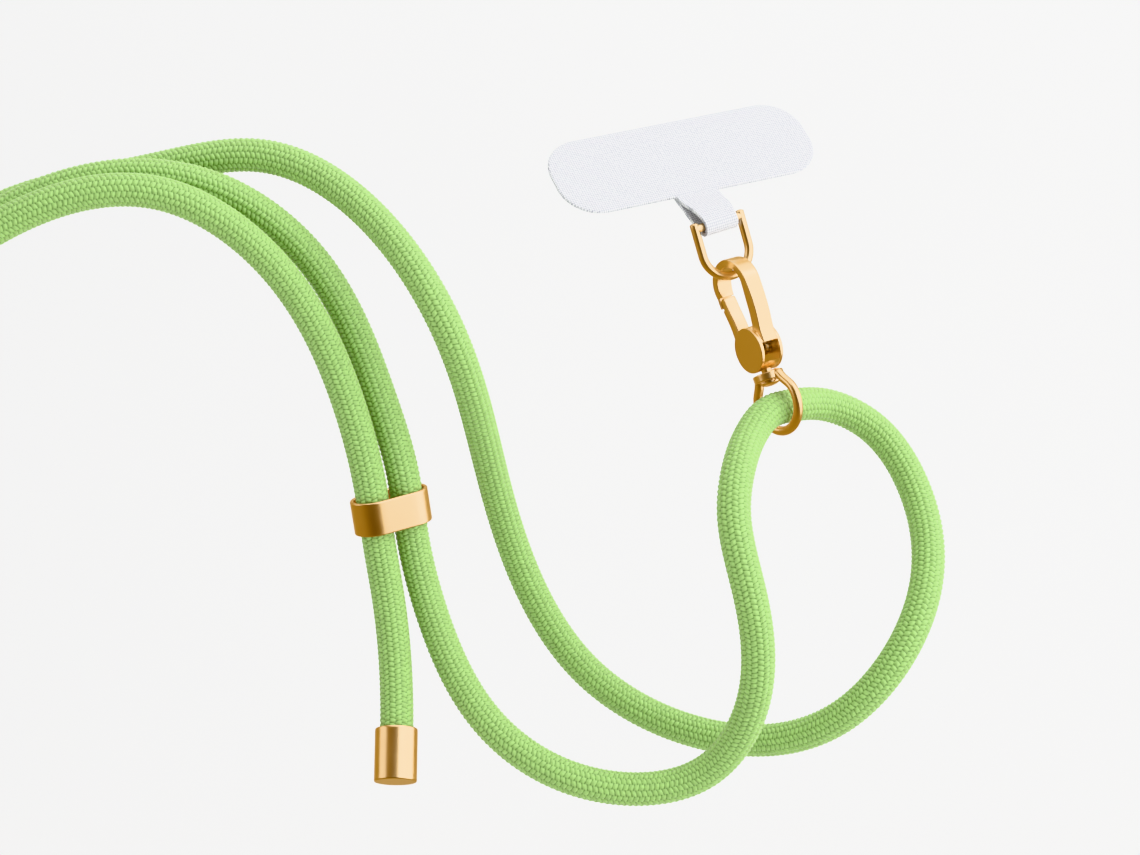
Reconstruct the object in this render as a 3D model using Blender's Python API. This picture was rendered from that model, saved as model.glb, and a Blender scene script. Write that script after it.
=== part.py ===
"""Phone crossbody strap: one braided rope on two band sliders, a swivel snap hook, a D-ring and a cloth patch.

Metres, +Z up, +X to the right and +Y away from the viewer. The origin is the top of the shoulder or peg that the
three strands hang over. The rope starts in its front end cap, goes up through the front slider, over the shoulder,
down through the back slider, round the low turn, up again, through the ring of the hook, back up through both
sliders and ends in its back end cap.
"""

import math

import bmesh
import bpy
import numpy as np
from mathutils import Matrix, Vector

# Sizes of the rope and of what sits on it.
ROPE_DIAMETER = 0.008
ROPE_CLEARANCE = 0.00035
STRAND_GAP = 0.0007
ROPE_SIDES_STEP = 4
ROPE_STEP = 0.0196
SLIDER_WALL = 0.0009
SLIDER_HEIGHT = 0.0080
SLIDER_EDGE = 0.0003
CAP_WALL = 0.0007
CAP_LENGTH = 0.0125
CAP_FLOOR = 0.0012
CAP_SHOULDER = 0.0010

# Sizes of the swivel ring and its rivet.
RING_OPENING = 0.0115
RING_WIRE = 0.00225
ROPE_DROP_IN_RING = 0.00145
COLLAR_RADIUS = 0.0037
COLLAR_HEIGHT = 0.0019
COLLAR_RISE = 0.000525
SHOULDER_DEG = 38
SHOULDER_REACH = 0.0035
SHOULDER_END = 0.0025
COLLAR_EDGE = 0.0004
SHANK_RADIUS = 0.00125
RIVET_RADIUS = 0.0023
RIVET_HEIGHT = 0.0010
RUNNING_GAP = 0.0003
SWIVEL_GAP = 0.0007

# Sizes of the hook and its gate.
CHEEK_RADIUS = 0.0055
CHEEK_THICKNESS = 0.0009
CHEEK_EDGE = 0.00025
SLOT_WIDTH = 0.0044
FLOOR_THICKNESS = 0.0011
FLOOR_ENDS_DEG = (245, 295)
ROOT_HEIGHT = 0.00045
PIN_RADIUS = 0.00085
HUB_RADIUS = 0.0022
TONGUE_WIDTH = 0.0020
SPRING_RADIUS = 0.0020
SPRING_WIDTH = 0.0013
BAND_THICKNESS = 0.0030
BOW_THICKNESS = 0.0019
BAND_WIDTH = 0.0043
SPINE_NARROWING = 0.08
NOSE_NARROWING = 0.50
GATE_WIDTH_SHARE = 0.80
BAND_EDGE = 0.0004
HOOK_WIDTH = 0.0145
HOOK_WAIST = 0.0121
HOOK_REACH = 0.0224
SPINE_SHARES = (0.0, 0.60, 0.97, 1.0)
GATE_SHARES = (0.28, 0.40, 0.92, 1.5)
GATE_THICKNESS_SHARES = (0.90, 0.73)
GATE_LENGTH = 0.0143
LIP_LENGTH = 0.0025
LIP_THICKNESS = 0.0009

# Sizes of the D-ring and the cloth patch.
D_WIRE = 0.0021
D_WIDTH = 0.0127
D_DEPTH = 0.0129
D_TIP = 0.0010
D_SIDE_REST = -0.0001
D_SEAT_GAP = 0.00060
PATCH_LENGTH = 0.068
PATCH_HEIGHT = 0.023
PATCH_CORNER = 0.0095
CLOTH_THICKNESS = 0.0010
TAB_TOP_WIDTH = 0.0112
TAB_FOLD_WIDTH = 0.0088
TAB_DROP = 0.0210
TAB_LAP = 0.0070
TAB_SHIFT = 0.0024

# Where the fixed pieces are held, and the directions that they face.
RING_CENTRE = (0.1477, 0.0, -0.0448)
HOOK_UP = (-0.324, 0.088, 0.942)
HOOK_SIDE = (0.433, -0.868, 0.242)
RING_SIDE = (0.540, -0.795, 0.262)
BAR_ALONG = (0.864, 0.411, 0.292)
D_UP = (-0.277, -0.097, 0.956)
PATCH_FACE = (0.172, -0.784, 0.595)
PATCH_ALONG = (0.905, 0.365, 0.219)
FRONT_SLIDER_CENTRE = (0.0567, 0.0, -0.0701)
FRONT_SLIDER_UP = (-0.135, -0.233, 0.963)
FRONT_SLIDER_SIDE = (0.867, 0.442, 0.229)
BACK_SLIDER_CENTRE = (-0.0745, -0.0138, -0.0760)
BACK_SLIDER_UP = (0.0, 0.0, 1.0)
BACK_SLIDER_SIDE = (0.0, 1.0, 0.0)
FRONT_CAP_MOUTH = (0.0582, -0.0035, -0.1212)
FRONT_CAP_UP = (0.0, 0.300, 0.954)
BACK_CAP_MOUTH = (-0.0835, -0.0100, -0.1225)
BACK_CAP_UP = (0.120, 0.0, 0.993)

# The rope's free stretches, each a short list of hand-chosen points (x, y, z).
FRONT_TAIL = [
    (0.0560, 0.0015, -0.0914),
]
FRONT_STRAND_UP = [
    (0.0472, -0.0070, -0.0448),
    (0.0310, -0.0122, -0.0140),
    (0.0050, -0.0175, 0.0028),
    (-0.0400, -0.0180, -0.0100),
    (-0.0670, -0.0180, -0.0400),
]
LOW_TURN = [
    (-0.0745, -0.0245, -0.1300),
    (-0.0745, -0.0275, -0.1720),
    (-0.0745, -0.0221, -0.1851),
    (-0.0745, -0.0090, -0.1905),
    (-0.0745, 0.0041, -0.1851),
    (-0.0745, 0.0095, -0.1720),
    (-0.0745, 0.0050, -0.1150),
    (-0.0670, 0.0005, -0.0420),
    (-0.0400, -0.0010, -0.0020),
]
BACK_STRAND_DOWN = [
    (-0.0010, -0.0010, 0.0095),
    (0.0267, -0.0030, 0.0129),
    (0.0520, -0.0095, -0.0010),
    (0.0706, -0.0150, -0.0279),
    (0.0782, 0.0030, -0.0529),
    (0.0860, 0.0185, -0.0820),
    (0.1030, 0.0205, -0.1100),
    (0.1362, 0.0150, -0.1256),
    (0.1640, -0.0015, -0.1175),
    (0.1805, -0.0050, -0.0930),
    (0.1812, 0.0080, -0.0660),
    (0.1710, 0.0128, -0.0503),
    (0.1597, 0.0088, -0.0453),
]
MIDDLE_STRAND_UP = [
    (0.1410, -0.0080, -0.0520),
    (0.1376, -0.0165, -0.0592),
    (0.1359, -0.0232, -0.0704),
    (0.1393, -0.0250, -0.0880),
    (0.1408, -0.0190, -0.1120),
    (0.1290, -0.0090, -0.1312),
    (0.1040, -0.0080, -0.1335),
    (0.0800, -0.0030, -0.1200),
    (0.0668, 0.0048, -0.0970),
]
MIDDLE_STRAND_OVER = [
    (0.0542, -0.0015, -0.0435),
    (0.0390, -0.0045, -0.0120),
    (0.0120, -0.0090, 0.0062),
    (-0.0360, -0.0097, -0.0030),
    (-0.0640, -0.0097, -0.0330),
]
# How finely round shapes are cut.
ROUND_SIDES = 32
WIRE_SIDES = 12
CORNER_STEPS = 3


def clear_scene():
    """Removes every object of the open scene."""
    for old in list(bpy.data.objects):
        bpy.data.objects.remove(old, do_unlink=True)


def finish(name, colour, metallic, roughness):
    """A Principled material in one colour."""
    made = bpy.data.materials.new(name)
    made.use_nodes = True
    shader = made.node_tree.nodes["Principled BSDF"]
    shader.inputs["Base Color"].default_value = (*colour, 1.0)
    shader.inputs["Metallic"].default_value = metallic
    shader.inputs["Roughness"].default_value = roughness
    return made


def facing(centre, up, side):
    """The matrix whose Z runs along up and whose X is the nearest square direction to side."""
    z = Vector(up).normalized()
    x = Vector(side)
    x = (x - z * x.dot(z)).normalized()
    turn = Matrix((x, z.cross(x), z)).transposed().to_4x4()
    return Matrix.Translation(Vector(centre)) @ turn


def holder(name, matrix, parent=None):
    """An empty that carries the pieces of one place; the matrix is in the parent's frame."""
    made = bpy.data.objects.new(name, None)
    bpy.context.scene.collection.objects.link(made)
    made.empty_display_size = 0.01
    made.parent = parent
    made.matrix_local = matrix
    return made


def piece(name, points, faces, material, parent, sharp_deg=35.0):
    """A mesh object with its faces turned outwards, shaded smooth below the given angle."""
    mesh = bpy.data.meshes.new(name)
    mesh.from_pydata([tuple(point) for point in points], [], faces)
    work = bmesh.new()
    work.from_mesh(mesh)
    bmesh.ops.recalc_face_normals(work, faces=work.faces)
    work.to_mesh(mesh)
    work.free()
    mesh.shade_smooth()
    mesh.set_sharp_from_angle(angle=math.radians(sharp_deg))
    mesh.materials.append(material)
    made = bpy.data.objects.new(name, mesh)
    bpy.context.scene.collection.objects.link(made)
    made.parent = parent
    return made


def combine(target, operation, other):
    """Joins another piece to the target, or cuts it away, and leaves the other out of the build."""
    other.hide_render = True
    other.display_type = "WIRE"
    step = target.modifiers.new(operation.lower() + "_" + other.name, "BOOLEAN")
    step.operation = operation
    step.solver = "EXACT"
    step.object = other


def skin(rings, closed):
    """Faces over a stack of equal rings of points, with a flat cap at each open end."""
    count = len(rings[0])
    stack = len(rings)
    faces = []
    for i in range(stack if closed else stack - 1):
        for j in range(count):
            here, there = i * count, (i + 1) % stack * count
            after = (j + 1) % count
            faces.append((here + j, here + after, there + after, there + j))
    if not closed:
        faces.append(tuple(range(count)))
        faces.append(tuple(range((stack - 1) * count, stack * count)))
    return [point for ring in rings for point in ring], faces


def turned(profile, sides=ROUND_SIDES, axis="Z", hollow=False):
    """A profile of (radius, height) rows turned about the axis; a solid one is capped at both ends."""
    rings = []
    for radius, height in profile:
        angles = [2 * math.pi * j / sides for j in range(sides)]
        ring = [(radius * math.cos(a), radius * math.sin(a), height) for a in angles]
        rings.append([(x, z, -y) for x, y, z in ring] if axis == "Y" else ring)
    return skin(rings, closed=hollow)


def prism(outline, low, high):
    """A flat outline of (x, z) rows drawn out along Y."""
    return skin([[(x, y, z) for x, z in outline] for y in (low, high)], closed=False)


def disc(radius, low, high, edge=0.0):
    """The profile of a flat round solid, its two rims rounded off by edge."""
    if edge == 0.0:
        return [(radius, low), (radius, high)]
    half = edge * (1 - math.sqrt(0.5))
    return [
        (radius - edge, low),
        (radius - half, low + half),
        (radius, low + edge),
        (radius, high - edge),
        (radius - half, high - half),
        (radius - edge, high),
    ]


def tube_wall(inner, outer, low, high):
    """The profile of a plain sleeve."""
    return [(inner, low), (outer, low), (outer, high), (inner, high)]


def circle(radius, sides=WIRE_SIDES):
    """A round wire's section."""
    angles = [2 * math.pi * k / sides for k in range(sides)]
    return [(radius * math.cos(a), radius * math.sin(a)) for a in angles]


def rounded(width, height, edge):
    """A flat band's section: a rectangle of width by height with rounded corners."""
    rows = []
    for sx, sy, first in ((1, 1, 0), (-1, 1, 90), (-1, -1, 180), (1, -1, 270)):
        for step in range(CORNER_STEPS):
            angle = math.radians(first + 90 * step / (CORNER_STEPS - 1))
            rows.append(
                (
                    sx * (width / 2 - edge) + edge * math.cos(angle),
                    sy * (height / 2 - edge) + edge * math.sin(angle),
                )
            )
    return rows


def swept(path, section, plane, closed=False, widths=None, depths=None):
    """A section carried along a flat path.

    plane names the two local axes of the path's points. The section's first number is measured across the path in
    its plane and its second along the plane's own normal. widths gives shares of the second, and depths gives
    shares of the first that leave the side to the right of the path where it is.
    """
    axes = {"X": Vector((1, 0, 0)), "Y": Vector((0, 1, 0)), "Z": Vector((0, 0, 1))}
    first, second = axes[plane[0]], axes[plane[1]]
    normal = first.cross(second)
    rings = []
    for i, (a, b) in enumerate(path):
        before = path[i - 1] if i or closed else path[0]
        after = path[(i + 1) % len(path)] if i + 1 < len(path) or closed else path[-1]
        run = Vector((after[0] - before[0], after[1] - before[1])).normalized()
        across = first * run.y - second * run.x
        share = widths[i] if widths else 1.0
        depth = depths[i] if depths else 1.0
        edge = max(p for p, q in section)
        centre = first * a + second * b
        rings.append([centre + across * (edge - (edge - p) * depth) + normal * q * share for p, q in section])
    return skin(rings, closed)


def arc(centre, radius, start_deg, end_deg, steps):
    """Points of a circular arc in a plane, from one angle to the other."""
    rows = []
    for step in range(steps + 1):
        angle = math.radians(start_deg + (end_deg - start_deg) * step / steps)
        rows.append((centre[0] + radius * math.cos(angle), centre[1] + radius * math.sin(angle)))
    return rows


def knots_of(points):
    """The running chord length at each point of a route."""
    return np.concatenate([[0.0], np.cumsum(np.linalg.norm(np.diff(points, axis=0), axis=1))])


def smooth(points, at):
    """Points of the natural cubic spline through the given points, at the given chord lengths."""
    points = np.array(points, float)
    at = np.asarray(at, float)
    knots = knots_of(points)
    gaps = np.diff(knots)[:, None]
    slopes = np.diff(points, axis=0) / gaps
    count = len(points)
    system = np.eye(count)
    target = np.zeros((count, points.shape[1]))
    for i in range(1, count - 1):
        system[i, i - 1 : i + 2] = gaps[i - 1, 0], 2 * (gaps[i - 1, 0] + gaps[i, 0]), gaps[i, 0]
        target[i] = 6 * (slopes[i] - slopes[i - 1])
    bends = np.linalg.solve(system, target)
    i = np.clip(np.searchsorted(knots, at, side="right") - 1, 0, count - 2)
    left = (knots[i + 1] - at)[:, None]
    right = (at - knots[i])[:, None]
    gap = gaps[i]
    return (
        (bends[i] * left**3 + bends[i + 1] * right**3) / (6 * gap)
        + (points[i] / gap - bends[i] * gap / 6) * left
        + (points[i + 1] / gap - bends[i + 1] * gap / 6) * right
    )


def stations(points, held, step):
    """Points along the smooth route about one step apart, with one at each place where a fitting holds it."""
    knots = knots_of(points)
    rows = []
    for start, end in zip(held[:-1], held[1:]):
        fine = smooth(points, np.linspace(knots[start], knots[end], 400))
        run = knots_of(fine)
        count = max(1, round(run[-1] / step))
        at = np.linspace(0.0, run[-1], count + 1)[:-1]
        rows.append(np.stack([np.interp(at, run, fine[:, k]) for k in range(3)], axis=1))
    rows.append(np.array([points[-1]], float))
    return np.concatenate(rows)


# Sizes that follow from the named ones.
rope_radius = ROPE_DIAMETER / 2
strand_pitch = ROPE_DIAMETER + STRAND_GAP
slider_inner = rope_radius + ROPE_CLEARANCE
slider_outer = slider_inner + SLIDER_WALL
cap_bore = rope_radius + RUNNING_GAP
cap_radius = cap_bore + CAP_WALL
ring_middle = RING_OPENING / 2 + RING_WIRE / 2
collar_top = ring_middle + COLLAR_RISE
collar_bottom = collar_top - COLLAR_HEIGHT
pivot_height = collar_top + SWIVEL_GAP + CHEEK_RADIUS
cheek_outer = SLOT_WIDTH / 2 + CHEEK_THICKNESS
leg_middle = (HOOK_WIDTH - BAND_THICKNESS) / 2
waist_middle = (HOOK_WAIST - BAND_THICKNESS) / 2
hook_top = pivot_height + HOOK_REACH
bow_centre = hook_top - BAND_THICKNESS / 2 - leg_middle
gate_top = pivot_height + GATE_LENGTH
gate_swing = math.hypot(leg_middle - BAND_THICKNESS / 2, GATE_LENGTH + RUNNING_GAP) - RUNNING_GAP / 3
waist_height = pivot_height + CHEEK_RADIUS * 0.65
d_inner = (D_WIDTH - D_WIRE) / 2
wire_rise = d_inner - math.sqrt(d_inner**2 - (BAND_WIDTH / 2) ** 2)
wire_rest = hook_top - BOW_THICKNESS - D_SEAT_GAP - wire_rise - D_WIRE / 2

# Frames of the fixed pieces.
ring_frame = facing(RING_CENTRE, HOOK_UP, RING_SIDE)
hook_frame = facing(RING_CENTRE, HOOK_UP, HOOK_SIDE)
d_turn = facing((0, 0, 0), D_UP, BAR_ALONG)
d_bottom = hook_frame @ Vector((0.0, D_SIDE_REST, wire_rest))
d_frame = Matrix.Translation(d_bottom + d_turn @ Vector((0, 0, D_DEPTH))) @ d_turn
tab_turn = facing((0, 0, 0), PATCH_FACE, BAR_ALONG)
patch_centre = d_frame.translation + tab_turn @ Vector((TAB_SHIFT, TAB_DROP, 0))
tab_frame = facing(patch_centre - tab_turn @ Vector((TAB_SHIFT, 0, 0)), PATCH_FACE, BAR_ALONG)
patch_frame = facing(patch_centre, PATCH_FACE, PATCH_ALONG)
front_slider_frame = facing(FRONT_SLIDER_CENTRE, FRONT_SLIDER_UP, FRONT_SLIDER_SIDE)
back_slider_frame = facing(BACK_SLIDER_CENTRE, BACK_SLIDER_UP, BACK_SLIDER_SIDE)
front_cap_frame = facing(FRONT_CAP_MOUTH, FRONT_CAP_UP, (1, 0, 0))
back_cap_frame = facing(BACK_CAP_MOUTH, BACK_CAP_UP, (0, 1, 0))


def slider_pass(frame, side, upwards):
    """The two points where a strand enters and leaves a slider; side is -1 or 1 along its long axis."""
    reach = SLIDER_HEIGHT / 2 + rope_radius
    ends = [-reach, reach] if upwards else [reach, -reach]
    return [tuple(frame @ Vector((side * strand_pitch / 2, 0.0, z))) for z in ends]


def cap_pass(frame, inwards):
    """The rope's end on the cap's floor, and the point where it comes out of the mouth."""
    seat = CAP_FLOOR + RUNNING_GAP - CAP_LENGTH
    ends = [rope_radius, seat] if inwards else [seat, rope_radius]
    return [tuple(frame @ Vector((0, 0, z))) for z in ends]


def ring_pass():
    """The two points where the rope enters and leaves the ring, from its far side to its near side."""
    return [tuple(ring_frame @ Vector((0, y, -ROPE_DROP_IN_RING))) for y in (RING_WIRE, -RING_WIRE)]


def rope_route():
    """Every point that the rope runs through, from its front cap to its back one, and which of them are held."""
    stretches = [
        (cap_pass(front_cap_frame, False), True),
        (FRONT_TAIL, False),
        (slider_pass(front_slider_frame, -1, True), True),
        (FRONT_STRAND_UP, False),
        (slider_pass(back_slider_frame, -1, False), True),
        (LOW_TURN + BACK_STRAND_DOWN, False),
        (ring_pass(), True),
        (MIDDLE_STRAND_UP, False),
        (slider_pass(front_slider_frame, 1, True), True),
        (MIDDLE_STRAND_OVER, False),
        (slider_pass(back_slider_frame, 1, False), True),
        (cap_pass(back_cap_frame, True), True),
    ]
    points, held = [], []
    for rows, fitted in stretches:
        if fitted:
            held += range(len(points), len(points) + len(rows))
        points += rows
    return points, held


def make_rope(material):
    """The rope: a round tube along the smooth curve through its route."""
    points = stations(*rope_route(), ROPE_STEP)
    data = bpy.data.curves.new("rope", "CURVE")
    data.dimensions = "3D"
    data.bevel_depth = rope_radius
    data.bevel_resolution = ROPE_SIDES_STEP
    data.use_fill_caps = True
    run = data.splines.new("POLY")
    run.points.add(len(points) - 1)
    run.points.foreach_set("co", np.hstack([points, np.ones((len(points), 1))]).ravel())
    data.materials.append(material)
    made = bpy.data.objects.new("rope", data)
    bpy.context.scene.collection.objects.link(made)


def make_slider(name, frame, material):
    """An oval band round two strands that lie side by side."""
    middle = slider_inner + SLIDER_WALL / 2
    half = strand_pitch / 2
    path = arc((half, 0), middle, -90, 90, 12) + arc((-half, 0), middle, 90, 270, 12)
    section = rounded(SLIDER_WALL, SLIDER_HEIGHT, SLIDER_EDGE)
    points, faces = swept(path, section, "XY", closed=True)
    piece(name, points, faces, material, holder(name + "_place", frame))


def make_end_cap(name, frame, material):
    """A turned cup over the rope's end, with a rounded shoulder at its mouth and a flat bottom."""
    shoulder = [
        (cap_radius - CAP_SHOULDER * (1 - math.cos(a)) * 0.55, -CAP_SHOULDER * (1 - math.sin(a)))
        for a in (0.0, math.pi / 6, math.pi / 3, math.pi / 2)
    ]
    profile = (
        disc(cap_radius, -CAP_LENGTH, 0.0, SLIDER_EDGE)[:3]
        + shoulder
        + [(cap_bore, 0.0), (cap_bore, CAP_FLOOR - CAP_LENGTH)]
    )
    points, faces = turned(profile)
    piece(name, points, faces, material, holder(name + "_place", frame))


def make_swivel_ring(material):
    """The round ring that the rope runs through, with the flat collar that turns on the rivet."""
    place = holder("swivel_ring_place", ring_frame)
    half = collar_top - COLLAR_HEIGHT / 2
    end = [(SHOULDER_REACH, half), (SHOULDER_END, half + (collar_top - half) * 0.1)]
    path = arc((0, 0), ring_middle, 90 + SHOULDER_DEG, 450 - SHOULDER_DEG, 36)
    path = [(-x, z) for x, z in end[::-1]] + path + end
    points, faces = swept(path, circle(RING_WIRE / 2), "XZ")
    ring = piece("swivel_ring", points, faces, material, place)
    points, faces = turned(disc(COLLAR_RADIUS, collar_bottom, collar_top, COLLAR_EDGE))
    combine(ring, "UNION", piece("collar", points, faces, material, place))
    points, faces = turned(disc(SHANK_RADIUS + RUNNING_GAP, 0.0, collar_top * 2))
    combine(ring, "DIFFERENCE", piece("collar_hole", points, faces, material, place))


def make_swivel_post(material, place):
    """The rivet: a round head inside the ring, and a shank through the collar into the hook's floor."""
    head_top = collar_bottom - RUNNING_GAP
    floor_top = pivot_height - CHEEK_RADIUS + FLOOR_THICKNESS
    profile = [
        (RIVET_RADIUS * 0.6, head_top - RIVET_HEIGHT * 0.93),
        (RIVET_RADIUS * 0.92, head_top - RIVET_HEIGHT * 0.6),
        (RIVET_RADIUS, head_top - RIVET_HEIGHT * 0.3),
        (RIVET_RADIUS, head_top),
        (SHANK_RADIUS, head_top),
        (SHANK_RADIUS, floor_top),
    ]
    points, faces = turned(profile, 24)
    piece("swivel_post", points, faces, material, place)


def leg_path(side, shares):
    """The middle line of one leg of the hook, from beside the cheeks' recess up to the bow; side is 1 or -1.

    shares say how much of the way from the waist's width to the bow's is reached at the waist, and at three tenths,
    six tenths and all of the height above it.
    """
    rise = bow_centre - waist_height
    widen = leg_middle - waist_middle
    rows = [(waist_middle * 0.985 + widen * shares[0], pivot_height + ROOT_HEIGHT)]
    for share, part in zip(shares, (0.0, 0.3, 0.6, 1.0)):
        rows.append((waist_middle + widen * share, waist_height + rise * part))
    return [(side * x, z) for x, z in rows]


def eased(path, steps=14):
    """A smooth curve through a flat path's few points."""
    return [(float(a), float(b)) for a, b in smooth(path, np.linspace(0.0, knots_of(path)[-1], steps))]


def slot_outline():
    """The open room between the cheeks, from the pivot: round the hub, above the floor and beside the spine's root."""
    room = HUB_RADIUS + RUNNING_GAP
    far = CHEEK_RADIUS * 1.5
    floor = arc((0, 0), CHEEK_RADIUS - FLOOR_THICKNESS, *FLOOR_ENDS_DEG, 8)
    return (
        [(-far, floor[0][1])]
        + floor
        + [(far, floor[-1][1]), (far, ROOT_HEIGHT), (room * 1.03, ROOT_HEIGHT), (room * 0.96, room * 0.45)]
        + [(room * 0.48, room * 0.96), (room * 0.48, far), (-far, far)]
    )


def make_hook_body(material, place):
    """The hook: one flat band for spine, bow and nose, and two round cheeks with a floor between them."""
    nose_end = gate_top + RUNNING_GAP
    bow = arc((0, bow_centre), leg_middle, 0, 180, 16)
    nose = [(-leg_middle, (bow_centre + nose_end) / 2), (-leg_middle, nose_end)]
    path = eased(leg_path(1, SPINE_SHARES)) + bow[1:] + nose
    thinning = 1 - BOW_THICKNESS / BAND_THICKNESS
    rises = [min(1.0, max(0.0, (z - bow_centre + leg_middle) / (leg_middle * 1.6))) for x, z in path]
    depths = [1 - thinning * (3 * rise**2 - 2 * rise**3) for rise in rises]
    narrowing = [SPINE_NARROWING if x > 0 else NOSE_NARROWING for x, z in path]
    widths = [1 - less * (1 - 3 * rise**2 + 2 * rise**3) for less, rise in zip(narrowing, rises)]
    section = rounded(BAND_THICKNESS, BAND_WIDTH, BAND_EDGE)
    points, faces = swept(path, section, "XZ", widths=widths, depths=depths)
    hook = piece("hook_body", points, faces, material, place)

    lip_middle = leg_middle + (BAND_THICKNESS - LIP_THICKNESS) / 2
    lip = [(-lip_middle, nose_end + rise) for rise in (BAND_THICKNESS * 0.4, 0.0, -LIP_LENGTH)]
    lip_section = rounded(LIP_THICKNESS * 0.98, BAND_WIDTH * GATE_WIDTH_SHARE, LIP_THICKNESS * 0.3)
    points, faces = swept(lip, lip_section, "XZ")
    combine(hook, "UNION", piece("nose_lip", points, faces, material, place))

    axle_place = holder("cheek_place", Matrix.Translation((0, 0, pivot_height)), place)
    points, faces = turned(disc(CHEEK_RADIUS, -cheek_outer, cheek_outer, CHEEK_EDGE), 48, "Y")
    combine(hook, "UNION", piece("cheek_block", points, faces, material, axle_place))
    points, faces = prism(slot_outline(), -SLOT_WIDTH / 2, SLOT_WIDTH / 2)
    combine(hook, "DIFFERENCE", piece("slot", points, faces, material, axle_place))
    pin_half = SLOT_WIDTH / 2 + CHEEK_THICKNESS / 2
    points, faces = turned(disc(PIN_RADIUS, -pin_half, pin_half), 16, "Y")
    combine(hook, "UNION", piece("gate_pin", points, faces, material, axle_place))
    points, faces = turned(disc(SHANK_RADIUS + RUNNING_GAP, -CHEEK_RADIUS * 2, -CHEEK_RADIUS * 0.5), 24)
    combine(hook, "DIFFERENCE", piece("post_hole", points, faces, material, axle_place))


def make_gate(material, place):
    """The gate: a flat bar up to the nose, stepped for its lip, on a thin tongue that turns round the pin."""
    rows = [(x, z - pivot_height) for x, z in leg_path(-1, GATE_SHARES)]
    top = gate_top - pivot_height
    run = eased(rows, 14)
    run = [row for row in run if row[1] < top - BAND_THICKNESS * 0.3] + [(run[-1][0], top)]
    thick, thin = GATE_THICKNESS_SHARES
    depths = [thick + (thin - thick) * z / top for x, z in run]
    section = rounded(BAND_THICKNESS, BAND_WIDTH * GATE_WIDTH_SHARE, BAND_EDGE)
    points, faces = swept(run, section, "XZ", depths=depths)
    gate = piece("gate", points, faces, material, place)

    step = LIP_THICKNESS + RUNNING_GAP
    outer = leg_middle + BAND_THICKNESS / 2
    notch_middle = outer - step + BAND_THICKNESS / 2
    low = top - LIP_LENGTH - RUNNING_GAP
    notch = [(-notch_middle, low), (-notch_middle, (low + top) / 2), (-notch_middle, top + BAND_THICKNESS)]
    points, faces = swept(notch, rounded(BAND_THICKNESS, BAND_WIDTH * 2, BAND_EDGE * 0.2), "XZ")
    combine(gate, "DIFFERENCE", piece("lip_step", points, faces, material, place))
    points, faces = turned(disc(gate_swing, -BAND_WIDTH, BAND_WIDTH), 192, "Y")
    combine(gate, "INTERSECT", piece("swing", points, faces, material, place))

    tongue_middle = -SLOT_WIDTH / 2 + RUNNING_GAP + TONGUE_WIDTH / 2
    arm = [(0.0, 0.0), (run[0][0] * 0.5, HUB_RADIUS * 0.4), (run[0][0], HUB_RADIUS * 0.8)]
    section = [(p, q - tongue_middle) for p, q in rounded(HUB_RADIUS, TONGUE_WIDTH, TONGUE_WIDTH * 0.1)]
    points, faces = swept(arm, section, "XZ")
    combine(gate, "UNION", piece("tongue", points, faces, material, place))
    hub = disc(HUB_RADIUS, tongue_middle - TONGUE_WIDTH / 2, tongue_middle + TONGUE_WIDTH / 2)
    points, faces = turned(hub, 24, "Y")
    combine(gate, "UNION", piece("hub", points, faces, material, place))
    points, faces = turned(disc(PIN_RADIUS + RUNNING_GAP, -SLOT_WIDTH, SLOT_WIDTH), 24, "Y")
    combine(gate, "DIFFERENCE", piece("pin_hole", points, faces, material, place))


def make_gate_spring(material, place):
    """The outer form of the small coil spring beside the tongue."""
    high = SLOT_WIDTH / 2 - RUNNING_GAP
    points, faces = turned(
        tube_wall(PIN_RADIUS + RUNNING_GAP, SPRING_RADIUS, high - SPRING_WIDTH, high), 24, "Y", hollow=True
    )
    piece("gate_spring", points, faces, material, place)


def make_d_ring(material):
    """The D-ring: a U of round wire with a straight bar between its legs, just under their tips."""
    place = holder("d_ring_place", d_frame)
    half = D_WIDTH / 2
    straight = D_DEPTH - half
    path = (
        [(-half, D_TIP), (-half, 0.0), (-half, -straight / 2)]
        + arc((0, -straight), half, 180, 360, 20)
        + [(half, -straight / 2), (half, 0.0), (half, D_TIP)]
    )
    points, faces = swept(path, circle(D_WIRE / 2), "XZ")
    ring = piece("d_ring", points, faces, material, place)
    points, faces = swept([(-half, 0.0), (0.0, 0.0), (half, 0.0)], circle(D_WIRE / 2 * 0.97), "XZ")
    combine(ring, "UNION", piece("d_bar", points, faces, material, place))


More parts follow.
